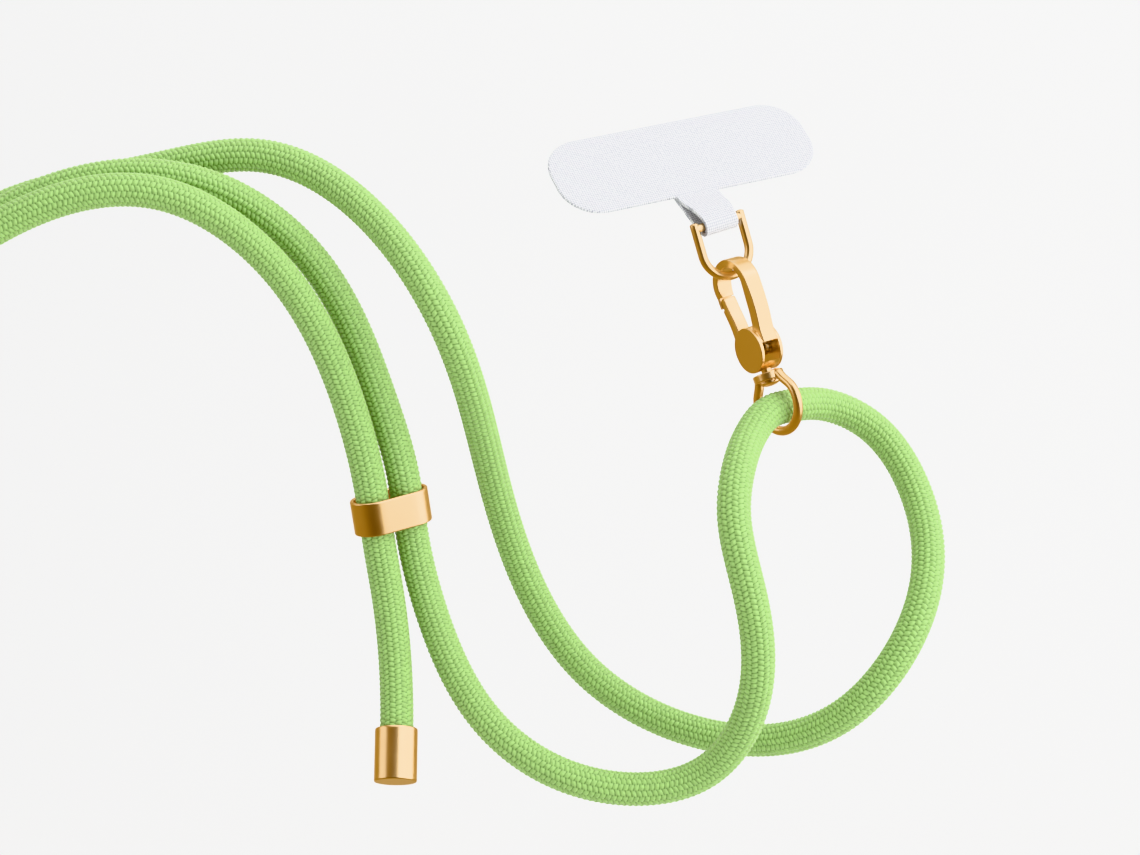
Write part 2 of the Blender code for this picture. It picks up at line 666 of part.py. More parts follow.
def make_patch(material):
    """The cloth patch, with its narrow tab folded round the D-ring's bar and sewn to its own back."""
    place = holder("phone_patch_place", patch_frame)
    half = CLOTH_THICKNESS / 2
    across, up = PATCH_LENGTH / 2 - PATCH_CORNER, PATCH_HEIGHT / 2 - PATCH_CORNER
    outline = []
    for sx, sy, first in ((1, 1, 0), (-1, 1, 90), (-1, -1, 180), (1, -1, 270)):
        outline += arc((sx * across, sy * up), PATCH_CORNER, first, first + 90, 8)
    rings = [
        [(x * share, y * share, z) for x, y in outline]
        for share, z in ((0.996, -half), (1.0, -half * 0.5), (1.0, half * 0.5), (0.996, half))
    ]
    points, faces = skin(rings, closed=False)
    patch = piece("phone_patch", points, faces, material, place)

    fold = D_WIRE / 2 + RUNNING_GAP + half
    lower = -PATCH_HEIGHT / 2
    front = [(lower + TAB_LAP, 0.0), (lower, 0.0), (lower - fold * 0.4, fold * 0.35), (-TAB_DROP, fold)]
    round_bar = arc((-TAB_DROP, 0.0), fold, 90, 270, 10)
    back = [(lower - fold * 0.4, -CLOTH_THICKNESS * 1.2)]
    back += [(lower, -CLOTH_THICKNESS), (lower + TAB_LAP, -CLOTH_THICKNESS)]
    path = front[:-1] + round_bar + back
    shares = [1.0] * 2 + [0.95] + [TAB_FOLD_WIDTH / TAB_TOP_WIDTH] * 11 + [0.95] + [1.0] * 2
    section = rounded(CLOTH_THICKNESS * 0.96, TAB_TOP_WIDTH, CLOTH_THICKNESS * 0.25)
    points, faces = swept(path, section, "YZ", widths=shares)
    tab_place = holder("tab_place", tab_frame)
    combine(patch, "UNION", piece("tab", points, faces, material, tab_place))


def main():
    clear_scene()
    rope_green = finish("rope_green", (0.30, 0.62, 0.16), 0.0, 0.75)
    gold = finish("gold", (0.78, 0.52, 0.20), 1.0, 0.22)
    steel = finish("spring_steel", (0.45, 0.33, 0.18), 1.0, 0.35)
    cloth = finish("grey_cloth", (0.62, 0.62, 0.66), 0.0, 0.85)

    make_rope(rope_green)
    make_slider("slider_front", front_slider_frame, gold)
    make_slider("slider_back", back_slider_frame, gold)
    make_end_cap("end_cap_front", front_cap_frame, gold)
    make_end_cap("end_cap_back", back_cap_frame, gold)
    make_swivel_ring(gold)
    hook_place = holder("hook_place", hook_frame)
    gate_place = holder("gate_place", Matrix.Translation((0, 0, pivot_height)), hook_place)
    make_hook_body(gold, hook_place)
    make_swivel_post(gold, hook_place)
    make_gate(gold, gate_place)
    make_gate_spring(steel, gate_place)
    make_d_ring(gold)
    make_patch(cloth)


main()
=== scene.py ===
"""Phone crossbody strap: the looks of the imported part, its stage and its camera.

The braided rope, its sliders, caps, ring and hook, the D-ring and the cloth patch are surfaces worked out
with numpy, in metres, in the part's own frame.
"""

import math

import bmesh
import bpy
import numpy as np
from bpy.props import FloatProperty, FloatVectorProperty, IntProperty, PointerProperty
from mathutils import Matrix


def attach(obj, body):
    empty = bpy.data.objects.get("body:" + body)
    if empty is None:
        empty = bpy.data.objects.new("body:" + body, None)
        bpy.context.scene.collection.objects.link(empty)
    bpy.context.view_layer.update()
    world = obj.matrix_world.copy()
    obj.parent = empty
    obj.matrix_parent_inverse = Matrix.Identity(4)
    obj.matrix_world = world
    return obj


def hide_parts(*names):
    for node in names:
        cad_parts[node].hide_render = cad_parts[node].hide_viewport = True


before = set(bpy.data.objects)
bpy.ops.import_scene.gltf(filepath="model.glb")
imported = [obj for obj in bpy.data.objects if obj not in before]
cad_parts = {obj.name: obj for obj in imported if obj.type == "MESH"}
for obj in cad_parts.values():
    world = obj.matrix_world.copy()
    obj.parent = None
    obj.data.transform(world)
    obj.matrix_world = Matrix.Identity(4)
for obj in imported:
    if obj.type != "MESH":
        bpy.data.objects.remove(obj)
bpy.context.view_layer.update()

bl_info = {
    "name": "Phone Crossbody Strap",
    "version": (1, 0, 0),
    "blender": (4, 5, 0),
    "location": "3D View > Sidebar > Strap",
    "description": "Builds a braided phone strap with its hook, ring, sliders, caps and cloth patch",
    "category": "Object",
}

# Sizes of the rope and of what sits on it, as in the part.
ROPE_DIAMETER = 0.008
ROPE_CLEARANCE = 0.00035
STRAND_GAP = 0.0007
SLIDER_WALL = 0.0009
SLIDER_HEIGHT = 0.0080
CAP_WALL = 0.0007
CAP_LENGTH = 0.0125
CAP_FLOOR = 0.0012
RUNNING_GAP = 0.0003
SLIDER_EDGE = 0.00028
CAP_EDGE = 0.00035
CAP_MOUTH_EDGE = 0.00060

# The rope's braid: how many points a cell of one column and one row has each way, where they lie across the
# column, how far a float's shoulders lie from its ends and how much more at its sides, how much it drops at
# its sides and ends, and how high its seams are.
STEPS_IN_CELL = 4
STATIONS_ACROSS = (0.0, 0.15, 0.5, 0.85)
FLOAT_SHOULDER = 0.13
FLOAT_SHOULDER_MORE = 0.18
SIDE_DROP = 0.5
END_DROP = 0.8
SEAM_AT_ENDS = 0.12
SEAM_AT_MIDDLE = 0.42

# How finely the rope's route is cut, how many pieces its braid has, and the core under the braid.
ROUTE_STEPS = 24000
STEPS_PER_NORMAL = 8
SHEATH_PIECES = 4
CORE_SHARE = 0.84
CORE_SIDES = 12
CORE_STEP = 10

# Sizes of the ring, the rivet, the hook and its gate.
RING_OPENING = 0.0115
RING_WIRE = 0.00225
ROPE_DROP_IN_RING = 0.00145
COLLAR_RADIUS = 0.0037
COLLAR_HEIGHT = 0.0019
COLLAR_EDGE = 0.0003
COLLAR_RISE = 0.000525
SHOULDER_DEG = 38
SHOULDER_REACH = 0.0035
SHOULDER_END = 0.0025
SHOULDER_TIP_RISE = 0.1
SHANK_RADIUS = 0.00125
RIVET_RADIUS = 0.0023
RIVET_HEIGHT = 0.0010
RIVET_DOME_SHARE = 0.75
RIVET_EDGE = 0.0001
SWIVEL_GAP = 0.0007
CHEEK_RADIUS = 0.0055
CHEEK_THICKNESS = 0.0009
CHEEK_EDGE = 0.00025
SLOT_WIDTH = 0.0044
FLOOR_THICKNESS = 0.0011
FLOOR_ENDS_DEG = (245, 295)
FLOOR_INSET = 0.00004
FLOOR_OVERLAP = 0.0002
FLOOR_EDGE = 0.00005
ROOT_HEIGHT = 0.00045
ROOT_TOP_DEG = 84
ROOT_WIDTH_SHARE = 0.985
ROOT_HOLLOW = ((0.48, 0.96), (0.96, 0.45))
ROOT_HOLLOW_END = 1.03
PIN_RADIUS = 0.00085
PIN_LENGTH_SHARE = 0.9
HUB_RADIUS = 0.0022
TONGUE_WIDTH = 0.0020
SPRING_RADIUS = 0.0020
SPRING_WIDTH = 0.0013
SPRING_TURNS = 2.0
BAND_THICKNESS = 0.0030
BOW_THICKNESS = 0.0019
BAND_WIDTH = 0.0043
SPINE_NARROWING = 0.08
NOSE_NARROWING = 0.50
GATE_WIDTH_SHARE = 0.80
BAND_EDGE = 0.00038
BOW_THINNING_RUN = 1.6
HOOK_WIDTH = 0.0145
HOOK_WAIST = 0.0121
HOOK_REACH = 0.0224
LEG_HEIGHT_SHARES = (0.0, 0.3, 0.6, 1.0)
SPINE_SHARES = (0.0, 0.60, 0.97, 1.0)
GATE_SHARES = (0.28, 0.40, 0.92, 1.5)
GATE_THICKNESS_SHARES = (0.90, 0.73)
GATE_LENGTH = 0.0143
GATE_RUN_END = 0.3
TONGUE_ARM = ((0.0, 0.0), (0.5, 0.4), (1.0, 0.8))
LIP_LENGTH = 0.0025
LIP_THICKNESS = 0.0009
LIP_SEAT_SHARE = 0.98
LIP_EDGE_SHARE = 0.3
HUB_EDGE = 0.00015
TONGUE_EDGE = 0.0002
STEP_SLOPE = 0.00002

# Sizes of the D-ring and the cloth patch.
D_WIRE = 0.0021
D_WIDTH = 0.0127
D_DEPTH = 0.0129
D_TIP = 0.0010
D_SIDE_REST = -0.0001
D_SEAT_GAP = 0.00060
D_BAR_SHARE = 0.97
D_TIP_SHARE = 0.45
PATCH_LENGTH = 0.068
PATCH_HEIGHT = 0.023
PATCH_CORNER = 0.0095
CLOTH_THICKNESS = 0.0010
TAB_THICKNESS_SHARE = 0.96
TAB_EDGE_SHARE = 0.3
CLOTH_SHARP_DEG = 60
TAB_TOP_WIDTH = 0.0112
TAB_FOLD_WIDTH = 0.0088
TAB_DROP = 0.0210
TAB_LAP = 0.0070
TAB_SHIFT = 0.0024
TAB_STRAIGHT = 0.0030
TAB_TAPER_POWER = 0.8

# The tab's bends: how far below the patch's edge they lie, and how deep they are in folds or cloths.
FRONT_BENDS = ((0.0006, 0.0), (0.0040, 0.55))
BACK_BEND = (0.0030, -1.45)
STACK_HEIGHT = 1.02
FRONT_LAP_SHARE = 0.2

# The patch's rounded rim and its flat: how far in from the outline, in millimetres, and the share of the
# height.
PATCH_RIM = (
    (0.0, 0.0),
    (0.06, 0.45),
    (0.18, 0.75),
    (0.34, 0.94),
    (0.50, 1.0),
    (0.62, 1.0),
    (1.5, 1.0),
    (3.0, 1.0),
    (6.0, 1.0),
)

# Where the fixed pieces are held, and the directions that they face.
RING_CENTRE = (0.1477, 0.0, -0.0448)
HOOK_UP = (-0.324, 0.088, 0.942)
HOOK_SIDE = (0.433, -0.868, 0.242)
RING_SIDE = (0.540, -0.795, 0.262)
BAR_ALONG = (0.864, 0.411, 0.292)
D_UP = (-0.277, -0.097, 0.956)
PATCH_FACE = (0.172, -0.784, 0.595)
PATCH_ALONG = (0.905, 0.365, 0.219)
FRONT_SLIDER = ((0.0567, 0.0, -0.0701), (-0.135, -0.233, 0.963), (0.867, 0.442, 0.229))
BACK_SLIDER = ((-0.0745, -0.0138, -0.0760), (0.0, 0.0, 1.0), (0.0, 1.0, 0.0))
FRONT_CAP = ((0.0582, -0.0035, -0.1212), (0.0, 0.300, 0.954), (1.0, 0.0, 0.0))
BACK_CAP = ((-0.0835, -0.0100, -0.1225), (0.120, 0.0, 0.993), (0.0, 1.0, 0.0))

# The rope's free stretches.
FRONT_TAIL = [(0.0560, 0.0015, -0.0914)]
FRONT_STRAND_UP = [
    (0.0472, -0.0070, -0.0448),
    (0.0310, -0.0122, -0.0140),
    (0.0050, -0.0175, 0.0028),
    (-0.0400, -0.0180, -0.0100),
    (-0.0670, -0.0180, -0.0400),
]
LOW_TURN = [
    (-0.0745, -0.0245, -0.1300),
    (-0.0745, -0.0275, -0.1720),
    (-0.0745, -0.0221, -0.1851),
    (-0.0745, -0.0090, -0.1905),
    (-0.0745, 0.0041, -0.1851),
    (-0.0745, 0.0095, -0.1720),
    (-0.0745, 0.0050, -0.1150),
    (-0.0670, 0.0005, -0.0420),
    (-0.0400, -0.0010, -0.0020),
]
BACK_STRAND_DOWN = [
    (-0.0010, -0.0010, 0.0095),
    (0.0267, -0.0030, 0.0129),
    (0.0520, -0.0095, -0.0010),
    (0.0706, -0.0150, -0.0279),
    (0.0782, 0.0030, -0.0529),
    (0.0860, 0.0185, -0.0820),
    (0.1030, 0.0205, -0.1100),
    (0.1362, 0.0150, -0.1256),
    (0.1640, -0.0015, -0.1175),
    (0.1805, -0.0050, -0.0930),
    (0.1812, 0.0080, -0.0660),
    (0.1710, 0.0128, -0.0503),
    (0.1597, 0.0088, -0.0453),
]
MIDDLE_STRAND_UP = [
    (0.1410, -0.0080, -0.0520),
    (0.1376, -0.0165, -0.0592),
    (0.1359, -0.0232, -0.0704),
    (0.1393, -0.0250, -0.0880),
    (0.1408, -0.0190, -0.1120),
    (0.1290, -0.0090, -0.1312),
    (0.1040, -0.0080, -0.1335),
    (0.0800, -0.0030, -0.1200),
    (0.0668, 0.0048, -0.0970),
]
MIDDLE_STRAND_OVER = [
    (0.0542, -0.0015, -0.0435),
    (0.0390, -0.0045, -0.0120),
    (0.0120, -0.0090, 0.0062),
    (-0.0360, -0.0097, -0.0030),
    (-0.0640, -0.0097, -0.0330),
]

# How the picture was taken.
CAMERA_PLACE = (0.0988, -0.600, -0.0507)
CAMERA_LENS = 80.5
SENSOR_WIDTH = 36.0

# The stage: the level of the floor, the round bend up to the backdrop, and how far both reach.
FLOOR_LEVEL = -0.26
BEND_START = 0.55
BEND_RADIUS = 0.35
BACKDROP_TOP = 1.1
FLOOR_FRONT = -1.0
FLOOR_SIDES = (-1.1, 1.3)

# The lights: name, target, turn to the right of the viewer and height in degrees, distance, width and height,
# and share of the key light's brightness.
STRAP_MIDDLE = (0.10, 0.0, -0.06)
BACKDROP_MIDDLE = (0.10, 0.90, 0.10)
LIGHTS = (
    ("key_softbox", STRAP_MIDDLE, 66, 16, 1.0, (2.0, 1.5), 1.0),
    ("left_softbox", STRAP_MIDDLE, -79, 14, 1.0, (0.60, 1.0), 0.45),
    ("top_softbox", STRAP_MIDDLE, 20, 72, 1.0, (1.4, 1.2), 0.66),
    ("backdrop_light", BACKDROP_MIDDLE, 0, 62, 0.75, (1.0, 0.25), 1.2),
)

# How much the even light grows towards the far side, and what the plating mirrors from the viewer's side to
# the far one: the place on the ramp, then the share of the room's tint.
EVEN_LIGHT_SPREAD = 0.5
MIRRORED_WALLS = ((0.12, 0.5), (0.25, 0.8), (0.76, 1.0))
MIRRORED_FRONT = (0.16, 0.12)
MIRRORED_BACK = (0.22, 0.18, 0.15)


class StageSettings(bpy.types.PropertyGroup):
    """The floor, the backdrop and the lights."""

    floor_colour: FloatVectorProperty(
        name="Floor colour",
        description="Pale colour of the floor and backdrop",
        subtype="COLOR",
        default=(0.86, 0.86, 0.86),
    )
    room_brightness: FloatProperty(
        name="Room brightness",
        description="Strength of the even light from all round",
        default=0.66,
        min=0.0,
    )
    room_tint: FloatVectorProperty(
        name="Room tint",
        description="Warm dim walls that the plating mirrors",
        subtype="COLOR",
        default=(0.44, 0.28, 0.07),
    )
    key_brightness: FloatProperty(
        name="Key light",
        description="Brightness of the softboxes",
        default=2.2,
        min=0.0,
    )


class RopeSettings(bpy.types.PropertyGroup):
    """The rope's size, braid and colours."""

    diameter: FloatProperty(
        name="Diameter",
        description="Rope diameter over the braid",
        default=ROPE_DIAMETER,
        unit="LENGTH",
        precision=4,
    )
    braid_depth: FloatProperty(
        name="Braid depth",
        description="Height of the braid's floats",
        default=0.00052,
        unit="LENGTH",
        precision=5,
    )
    columns: IntProperty(
        name="Columns",
        description="Braid columns round the rope, an even number",
        default=16,
        min=8,
    )
    row_height: FloatProperty(
        name="Row height",
        description="Length of one braid row",
        default=0.00124,
        unit="LENGTH",
        precision=5,
    )
    slant: FloatProperty(
        name="Slant",
        description="Rise of a float over one column, in rows",
        default=0.32,
    )
    colour: FloatVectorProperty(
        name="Rope colour",
        description="Colour of the braid's floats",
        subtype="COLOR",
        default=(0.36, 0.60, 0.19),
    )
    # Painted shade: the darker green painted into the hollows between the floats, where shade falls.
    painted_gap_shade: FloatVectorProperty(
        name="Gap colour",
        description="Colour deep between the floats",
        subtype="COLOR",
        default=(0.12, 0.25, 0.05),
    )


class MetalSettings(bpy.types.PropertyGroup):
    """The plated fittings."""

    colour: FloatVectorProperty(
        name="Plating colour",
        description="Colour of the gold plating",
        subtype="COLOR",
        default=(0.95, 0.71, 0.38),
    )
    roughness: FloatProperty(
        name="Roughness",
        description="Middle roughness of the plating",
        subtype="FACTOR",
        default=0.32,
        min=0.0,
        max=1.0,
    )
    spring_colour: FloatVectorProperty(
        name="Spring colour",
        description="Colour of the gate's coil spring",
        subtype="COLOR",
        default=(0.62, 0.46, 0.25),
    )


class ClothSettings(bpy.types.PropertyGroup):
    """The patch and its tab."""

    colour: FloatVectorProperty(
        name="Cloth colour",
        description="Light yarn of the patch",
        subtype="COLOR",
        default=(0.78, 0.78, 0.80),
    )
    # Partly the real darker fleck yarn, partly painted shade in the gaps between the weave's yarns.
    fleck_and_gap_shade_colour: FloatVectorProperty(
        name="Fleck colour",
        description="Darker yarn and gaps of the weave",
        subtype="COLOR",
        default=(0.36, 0.37, 0.42),
    )
    yarn_pitch: FloatProperty(
        name="Yarn pitch",
        description="Distance between two yarns",
        default=0.00055,
        unit="LENGTH",
        precision=5,
    )


def facing(centre, up, side):
    """The matrix whose Z runs along up and whose X is the nearest square direction to side."""
    z = np.array(up, float) / np.linalg.norm(up)
    x = np.array(side, float)
    x = x - z * (x @ z)
    x /= np.linalg.norm(x)
    made = np.eye(4)
    made[:3, 0], made[:3, 1], made[:3, 2], made[:3, 3] = x, np.cross(z, x), z, centre
    return made


def moved(matrix, points):
    """Every point carried by the matrix: its turn times the point, plus its place."""
    points = np.asarray(points, float)
    return points @ matrix[:3, :3].T + matrix[:3, 3]


def shift(x, y, z):
    """The matrix of a plain move."""
    made = np.eye(4)
    made[:3, 3] = (x, y, z)
    return made


# Sizes that follow from the named ones.
rope_radius = ROPE_DIAMETER / 2
strand_pitch = ROPE_DIAMETER + STRAND_GAP
slider_inner = rope_radius + ROPE_CLEARANCE
cap_bore = rope_radius + RUNNING_GAP
cap_radius = cap_bore + CAP_WALL
ring_middle = RING_OPENING / 2 + RING_WIRE / 2
collar_top = ring_middle + COLLAR_RISE
collar_bottom = collar_top - COLLAR_HEIGHT
pivot_height = collar_top + SWIVEL_GAP + CHEEK_RADIUS
cheek_outer = SLOT_WIDTH / 2 + CHEEK_THICKNESS
leg_middle = (HOOK_WIDTH - BAND_THICKNESS) / 2
waist_middle = (HOOK_WAIST - BAND_THICKNESS) / 2
hook_top = pivot_height + HOOK_REACH
bow_centre = hook_top - BAND_THICKNESS / 2 - leg_middle
gate_top = pivot_height + GATE_LENGTH
gate_swing = math.hypot(leg_middle - BAND_THICKNESS / 2, GATE_LENGTH + RUNNING_GAP) - RUNNING_GAP / 3
waist_height = pivot_height + CHEEK_RADIUS * 0.65
d_inner = (D_WIDTH - D_WIRE) / 2
wire_rise = d_inner - math.sqrt(d_inner**2 - (BAND_WIDTH / 2) ** 2)
wire_rest = hook_top - BOW_THICKNESS - D_SEAT_GAP - wire_rise - D_WIRE / 2

# Frames of the fixed pieces.
ring_frame = facing(RING_CENTRE, HOOK_UP, RING_SIDE)
hook_frame = facing(RING_CENTRE, HOOK_UP, HOOK_SIDE)
pivot_frame = hook_frame @ shift(0, 0, pivot_height)
d_turn = facing((0, 0, 0), D_UP, BAR_ALONG)
d_bottom = moved(hook_frame, (0.0, D_SIDE_REST, wire_rest))
d_frame = facing(moved(d_turn, (0, 0, D_DEPTH)) + d_bottom, D_UP, BAR_ALONG)
tab_turn = facing((0, 0, 0), PATCH_FACE, BAR_ALONG)
patch_centre = d_frame[:3, 3] + moved(tab_turn, (TAB_SHIFT, TAB_DROP, 0))
tab_frame = facing(patch_centre - moved(tab_turn, (TAB_SHIFT, 0, 0)), PATCH_FACE, BAR_ALONG)
patch_frame = facing(patch_centre, PATCH_FACE, PATCH_ALONG)
front_slider_frame = facing(*FRONT_SLIDER)
back_slider_frame = facing(*BACK_SLIDER)
front_cap_frame = facing(*FRONT_CAP)
back_cap_frame = facing(*BACK_CAP)


def lattice(rows, columns, wrap_rows=False, wrap_columns=False, first=0):
    """Quads over a grid of points, each joining a point with its next in the row and in the column."""
    i = np.arange(rows if wrap_rows else rows - 1)
    j = np.arange(columns if wrap_columns else columns - 1)
    i, j = np.meshgrid(i, j, indexing="ij")
    below, after = (i + 1) % rows, (j + 1) % columns
    corners = [i * columns + j, i * columns + after, below * columns + after, below * columns + j]
    return np.stack(corners, axis=-1).reshape(-1, 4) + first


def skin(grid, wrap_rows=False, wrap_columns=True, caps=True):
    """(points, faces) over a grid of rings; a flat cap closes each open end."""
    rows, columns = grid.shape[:2]
    faces = lattice(rows, columns, wrap_rows, wrap_columns).tolist()
    if caps and not wrap_rows:
        faces.append(list(range(columns))[::-1])
        faces.append(list(range((rows - 1) * columns, rows * columns)))
    return grid.reshape(-1, 3), faces


def joined(shapes):
    """Several (points, faces) shapes as one."""
    points, faces, count = [], [], 0
    for some, rows in shapes:
        points.append(some)
        faces += [[corner + count for corner in row] for row in rows]
        count += len(some)
    return np.concatenate(points), faces


def mesh_object(name, points, faces, material, sharp_deg=35.0, merge=1e-7):
    """A mesh object at the origin with outward faces, shaded smooth below the given angle."""
    mesh = bpy.data.meshes.new(name)
    mesh.from_pydata(np.asarray(points).tolist(), [], faces)
    work = bmesh.new()
    work.from_mesh(mesh)
    bmesh.ops.remove_doubles(work, verts=work.verts, dist=merge)
    bmesh.ops.recalc_face_normals(work, faces=work.faces)
    work.to_mesh(mesh)
    work.free()
    mesh.shade_smooth()
    mesh.set_sharp_from_angle(angle=math.radians(sharp_deg))
    mesh.materials.append(material)
    made = bpy.data.objects.new(name, mesh)
    bpy.context.scene.collection.objects.link(made)
    return made


def place(made, body, *nodes):
    """The piece stands in for these nodes and moves with their body."""
    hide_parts(*nodes)
    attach(made, body)
    return made


def arc(centre, radius, start_deg, end_deg, steps):
    """Points of a circular arc: the centre plus the radius times cosine and sine of an even run of angles."""
    angle = np.radians(np.linspace(start_deg, end_deg, steps + 1))
    return np.stack([centre[0] + radius * np.cos(angle), centre[1] + radius * np.sin(angle)], axis=1)


def filleted(corners, radius, steps=5, closed=False):
    """A polyline whose corners are replaced by parabolic fillets that start one radius before the corner.

    Each fillet is (1-t)^2 a + 2t(1-t) p + t^2 b, and one more point a quarter radius outside it keeps the
    flats flat. A radius is never more than a fixed share of the side that it eats into.
    """
    corners = np.asarray(corners, float)
    count = len(corners)
    t = np.linspace(0.0, 1.0, steps + 1)[:, None]
    rows = []
    for i, p in enumerate(corners):
        if not closed and i in (0, count - 1):
            rows.append(p[None])
            continue
        before, after = corners[i - 1] - p, corners[(i + 1) % count] - p
        reach_a = min(radius, np.linalg.norm(before) * 0.38)
        reach_b = min(radius, np.linalg.norm(after) * 0.38)
        a, b = before / np.linalg.norm(before), after / np.linalg.norm(after)
        bend = (1 - t) ** 2 * (p + a * reach_a) + 2 * t * (1 - t) * p + t**2 * (p + b * reach_b)
        rows.append(np.concatenate([[p + a * reach_a * 1.25], bend, [p + b * reach_b * 1.25]]))
    return np.concatenate(rows)


def box_section(width, height, edge):
    """The outline of a flat band: a rectangle with filleted corners, (across, along the width)."""
    w, h = width / 2, height / 2
    return filleted([(w, h), (-w, h), (-w, -h), (w, -h)], edge, closed=True)


def round_section(radius, sides=28):
    """The outline of a round wire: radius times cosine and sine."""
    return arc((0, 0), radius, 0, 360, sides)[:-1]


def turned(profile, sides=72, axis="Z", wrap=False):
    """A profile of (radius, height) rows turned about an axis.

    Each point is (r cos a, r sin a, height), for all angles a.
    """
    profile = np.asarray(profile, float)
    angle = np.linspace(0, 2 * math.pi, sides, endpoint=False)[None]
    radius, height = profile[:, :1], profile[:, 1:] + 0 * angle
    x, y = radius * np.cos(angle), radius * np.sin(angle)
    grid = np.stack([x, height, -y] if axis == "Y" else [x, y, height], axis=-1)
    return skin(grid, wrap_rows=wrap, caps=False)


def smooth(points, at):
    """The natural cubic spline through the given points, at the given chord lengths."""
    points = np.asarray(points, float)
    knots = running(points)
    gaps = np.diff(knots)[:, None]
    slopes = np.diff(points, axis=0) / gaps
    count = len(points)
    system = np.eye(count)
    inner = np.arange(1, count - 1)
    system[inner, inner - 1] = gaps[:-1, 0]
    system[inner, inner] = 2 * (gaps[:-1, 0] + gaps[1:, 0])
    system[inner, inner + 1] = gaps[1:, 0]
    target = np.zeros_like(points)
    target[1:-1] = 6 * np.diff(slopes, axis=0)
    bends = np.linalg.solve(system, target)
    i = np.clip(np.searchsorted(knots, at, side="right") - 1, 0, count - 2)
    left, right, gap = (knots[i + 1] - at)[:, None], (at - knots[i])[:, None], gaps[i]
    return (
        (bends[i] * left**3 + bends[i + 1] * right**3) / (6 * gap)
        + (points[i] / gap - bends[i] * gap / 6) * left
        + (points[i + 1] / gap - bends[i + 1] * gap / 6) * right
    )


def running(points):
    """The running chord length at each point."""
    return np.concatenate([[0.0], np.cumsum(np.linalg.norm(np.diff(points, axis=0), axis=1))])


def eased(path, steps):
    """A smooth curve through a flat path's few points, at an even run of chord lengths."""
    path = np.asarray(path, float)
    return smooth(path, np.linspace(0.0, running(path)[-1], steps))


def swept(path, section, plane, closed=False, widths=1.0, depths=1.0):
    """A section carried along a flat path, as a grid of rings.

    Each point is the path's point, plus across times the section's first number, plus the plane's normal
    times its second. widths shrink the second. depths shrink the first and leave the side to the right of the
    path.
    """
    path = np.asarray(path, float)
    axes = {"X": np.array([1.0, 0, 0]), "Y": np.array([0, 1.0, 0]), "Z": np.array([0, 0, 1.0])}
    first, second = axes[plane[0]], axes[plane[1]]
    if closed:
        run = np.roll(path, -1, axis=0) - np.roll(path, 1, axis=0)
    else:
        run = np.concatenate([path[1:2] - path[:1], path[2:] - path[:-2], path[-1:] - path[-2:-1]])
    run = run / np.linalg.norm(run, axis=1)[:, None]
    across = run[:, 1:] * first - run[:, :1] * second
    centre = path[:, :1] * first + path[:, 1:] * second
    edge = section[:, 0].max()
    depth = np.broadcast_to(depths, len(path))[:, None]
    width = np.broadcast_to(widths, len(path))[:, None]
    p = edge - (edge - section[None, :, 0]) * depth
    q = section[None, :, 1] * width
    return centre[:, None] + across[:, None] * p[..., None] + np.cross(first, second) * q[..., None]


def tipped(count=5):
    """Shares of a wire's radius that round off its end, and how far back each ring lies.

    They are the sine of an even run of angles, and one less its cosine.
    """
    angle = np.linspace(0.12, math.pi / 2, count)
    return np.sin(angle), 1 - np.cos(angle)


def prism(outline, low, high, edge):
    """A flat outline of (x, z) rows drawn out along Y, its two rims set in by edge."""
    outline = np.asarray(outline, float)
    centre = outline.mean(axis=0)
    inset = outline + (centre - outline) * (edge / np.linalg.norm(outline - centre, axis=1))[:, None]
    stack = [(inset, low), (outline, low + edge), (outline, high - edge), (inset, high)]
    grid = np.stack([np.stack([o[:, 0], np.full(len(o), y), o[:, 1]], axis=1) for o, y in stack])
    return skin(grid)


def slider_pass(matrix, side, upwards):
    """The two points where a strand enters and leaves a slider."""
    reach = SLIDER_HEIGHT / 2 + rope_radius
    ends = [-reach, reach] if upwards else [reach, -reach]
    return [tuple(moved(matrix, (side * strand_pitch / 2, 0.0, z))) for z in ends]


def cap_pass(matrix, inwards):
    """The rope's end on the cap's floor, and the point where it comes out of the mouth."""
    seat = CAP_FLOOR + RUNNING_GAP - CAP_LENGTH
    ends = [rope_radius, seat] if inwards else [seat, rope_radius]
    return [tuple(moved(matrix, (0, 0, z))) for z in ends]


def rope_route():
    """Every point that the rope runs through, from its front cap to its back one."""
    ring = [tuple(moved(ring_frame, (0, y, -ROPE_DROP_IN_RING))) for y in (RING_WIRE, -RING_WIRE)]
    return (
        cap_pass(front_cap_frame, False)
        + FRONT_TAIL
        + slider_pass(front_slider_frame, -1, True)
        + FRONT_STRAND_UP
        + slider_pass(back_slider_frame, -1, False)
        + LOW_TURN
        + BACK_STRAND_DOWN
        + ring
        + MIDDLE_STRAND_UP
        + slider_pass(front_slider_frame, 1, True)
        + MIDDLE_STRAND_OVER
        + slider_pass(back_slider_frame, 1, False)
        + cap_pass(back_cap_frame, True)
    )


def rope_line(step):
    """(points, tangents, normals) along the rope, an even step apart.

    The normals are carried along without twist: each is the one before it with its part along the new tangent
    taken out, worked out at every few points and interpolated between them.
    """
    route = np.array(rope_route())
    fine = smooth(route, np.linspace(0.0, running(route)[-1], ROUTE_STEPS))
    run = running(fine)
    count = int(run[-1] / step)
    at = np.linspace(0.0, run[-1], count + 1)
    points = np.stack([np.interp(at, run, fine[:, k]) for k in range(3)], axis=1)
    tangents = np.gradient(points, axis=0)
    tangents /= np.linalg.norm(tangents, axis=1)[:, None]
    keys = np.unique(np.append(np.arange(0, count + 1, STEPS_PER_NORMAL), count))
    carried = np.zeros((len(keys), 3))
    normal = np.array([1.0, 0.0, 0.0])
    for i, key in enumerate(keys):
        normal = normal - tangents[key] * (normal @ tangents[key])
        normal /= np.linalg.norm(normal)
        carried[i] = normal
    normals = np.stack([np.interp(np.arange(count + 1), keys, carried[:, k]) for k in range(3)], axis=1)
    normals -= tangents * (normals * tangents).sum(axis=1)[:, None]
    normals /= np.linalg.norm(normals, axis=1)[:, None]
    return points, tangents, normals


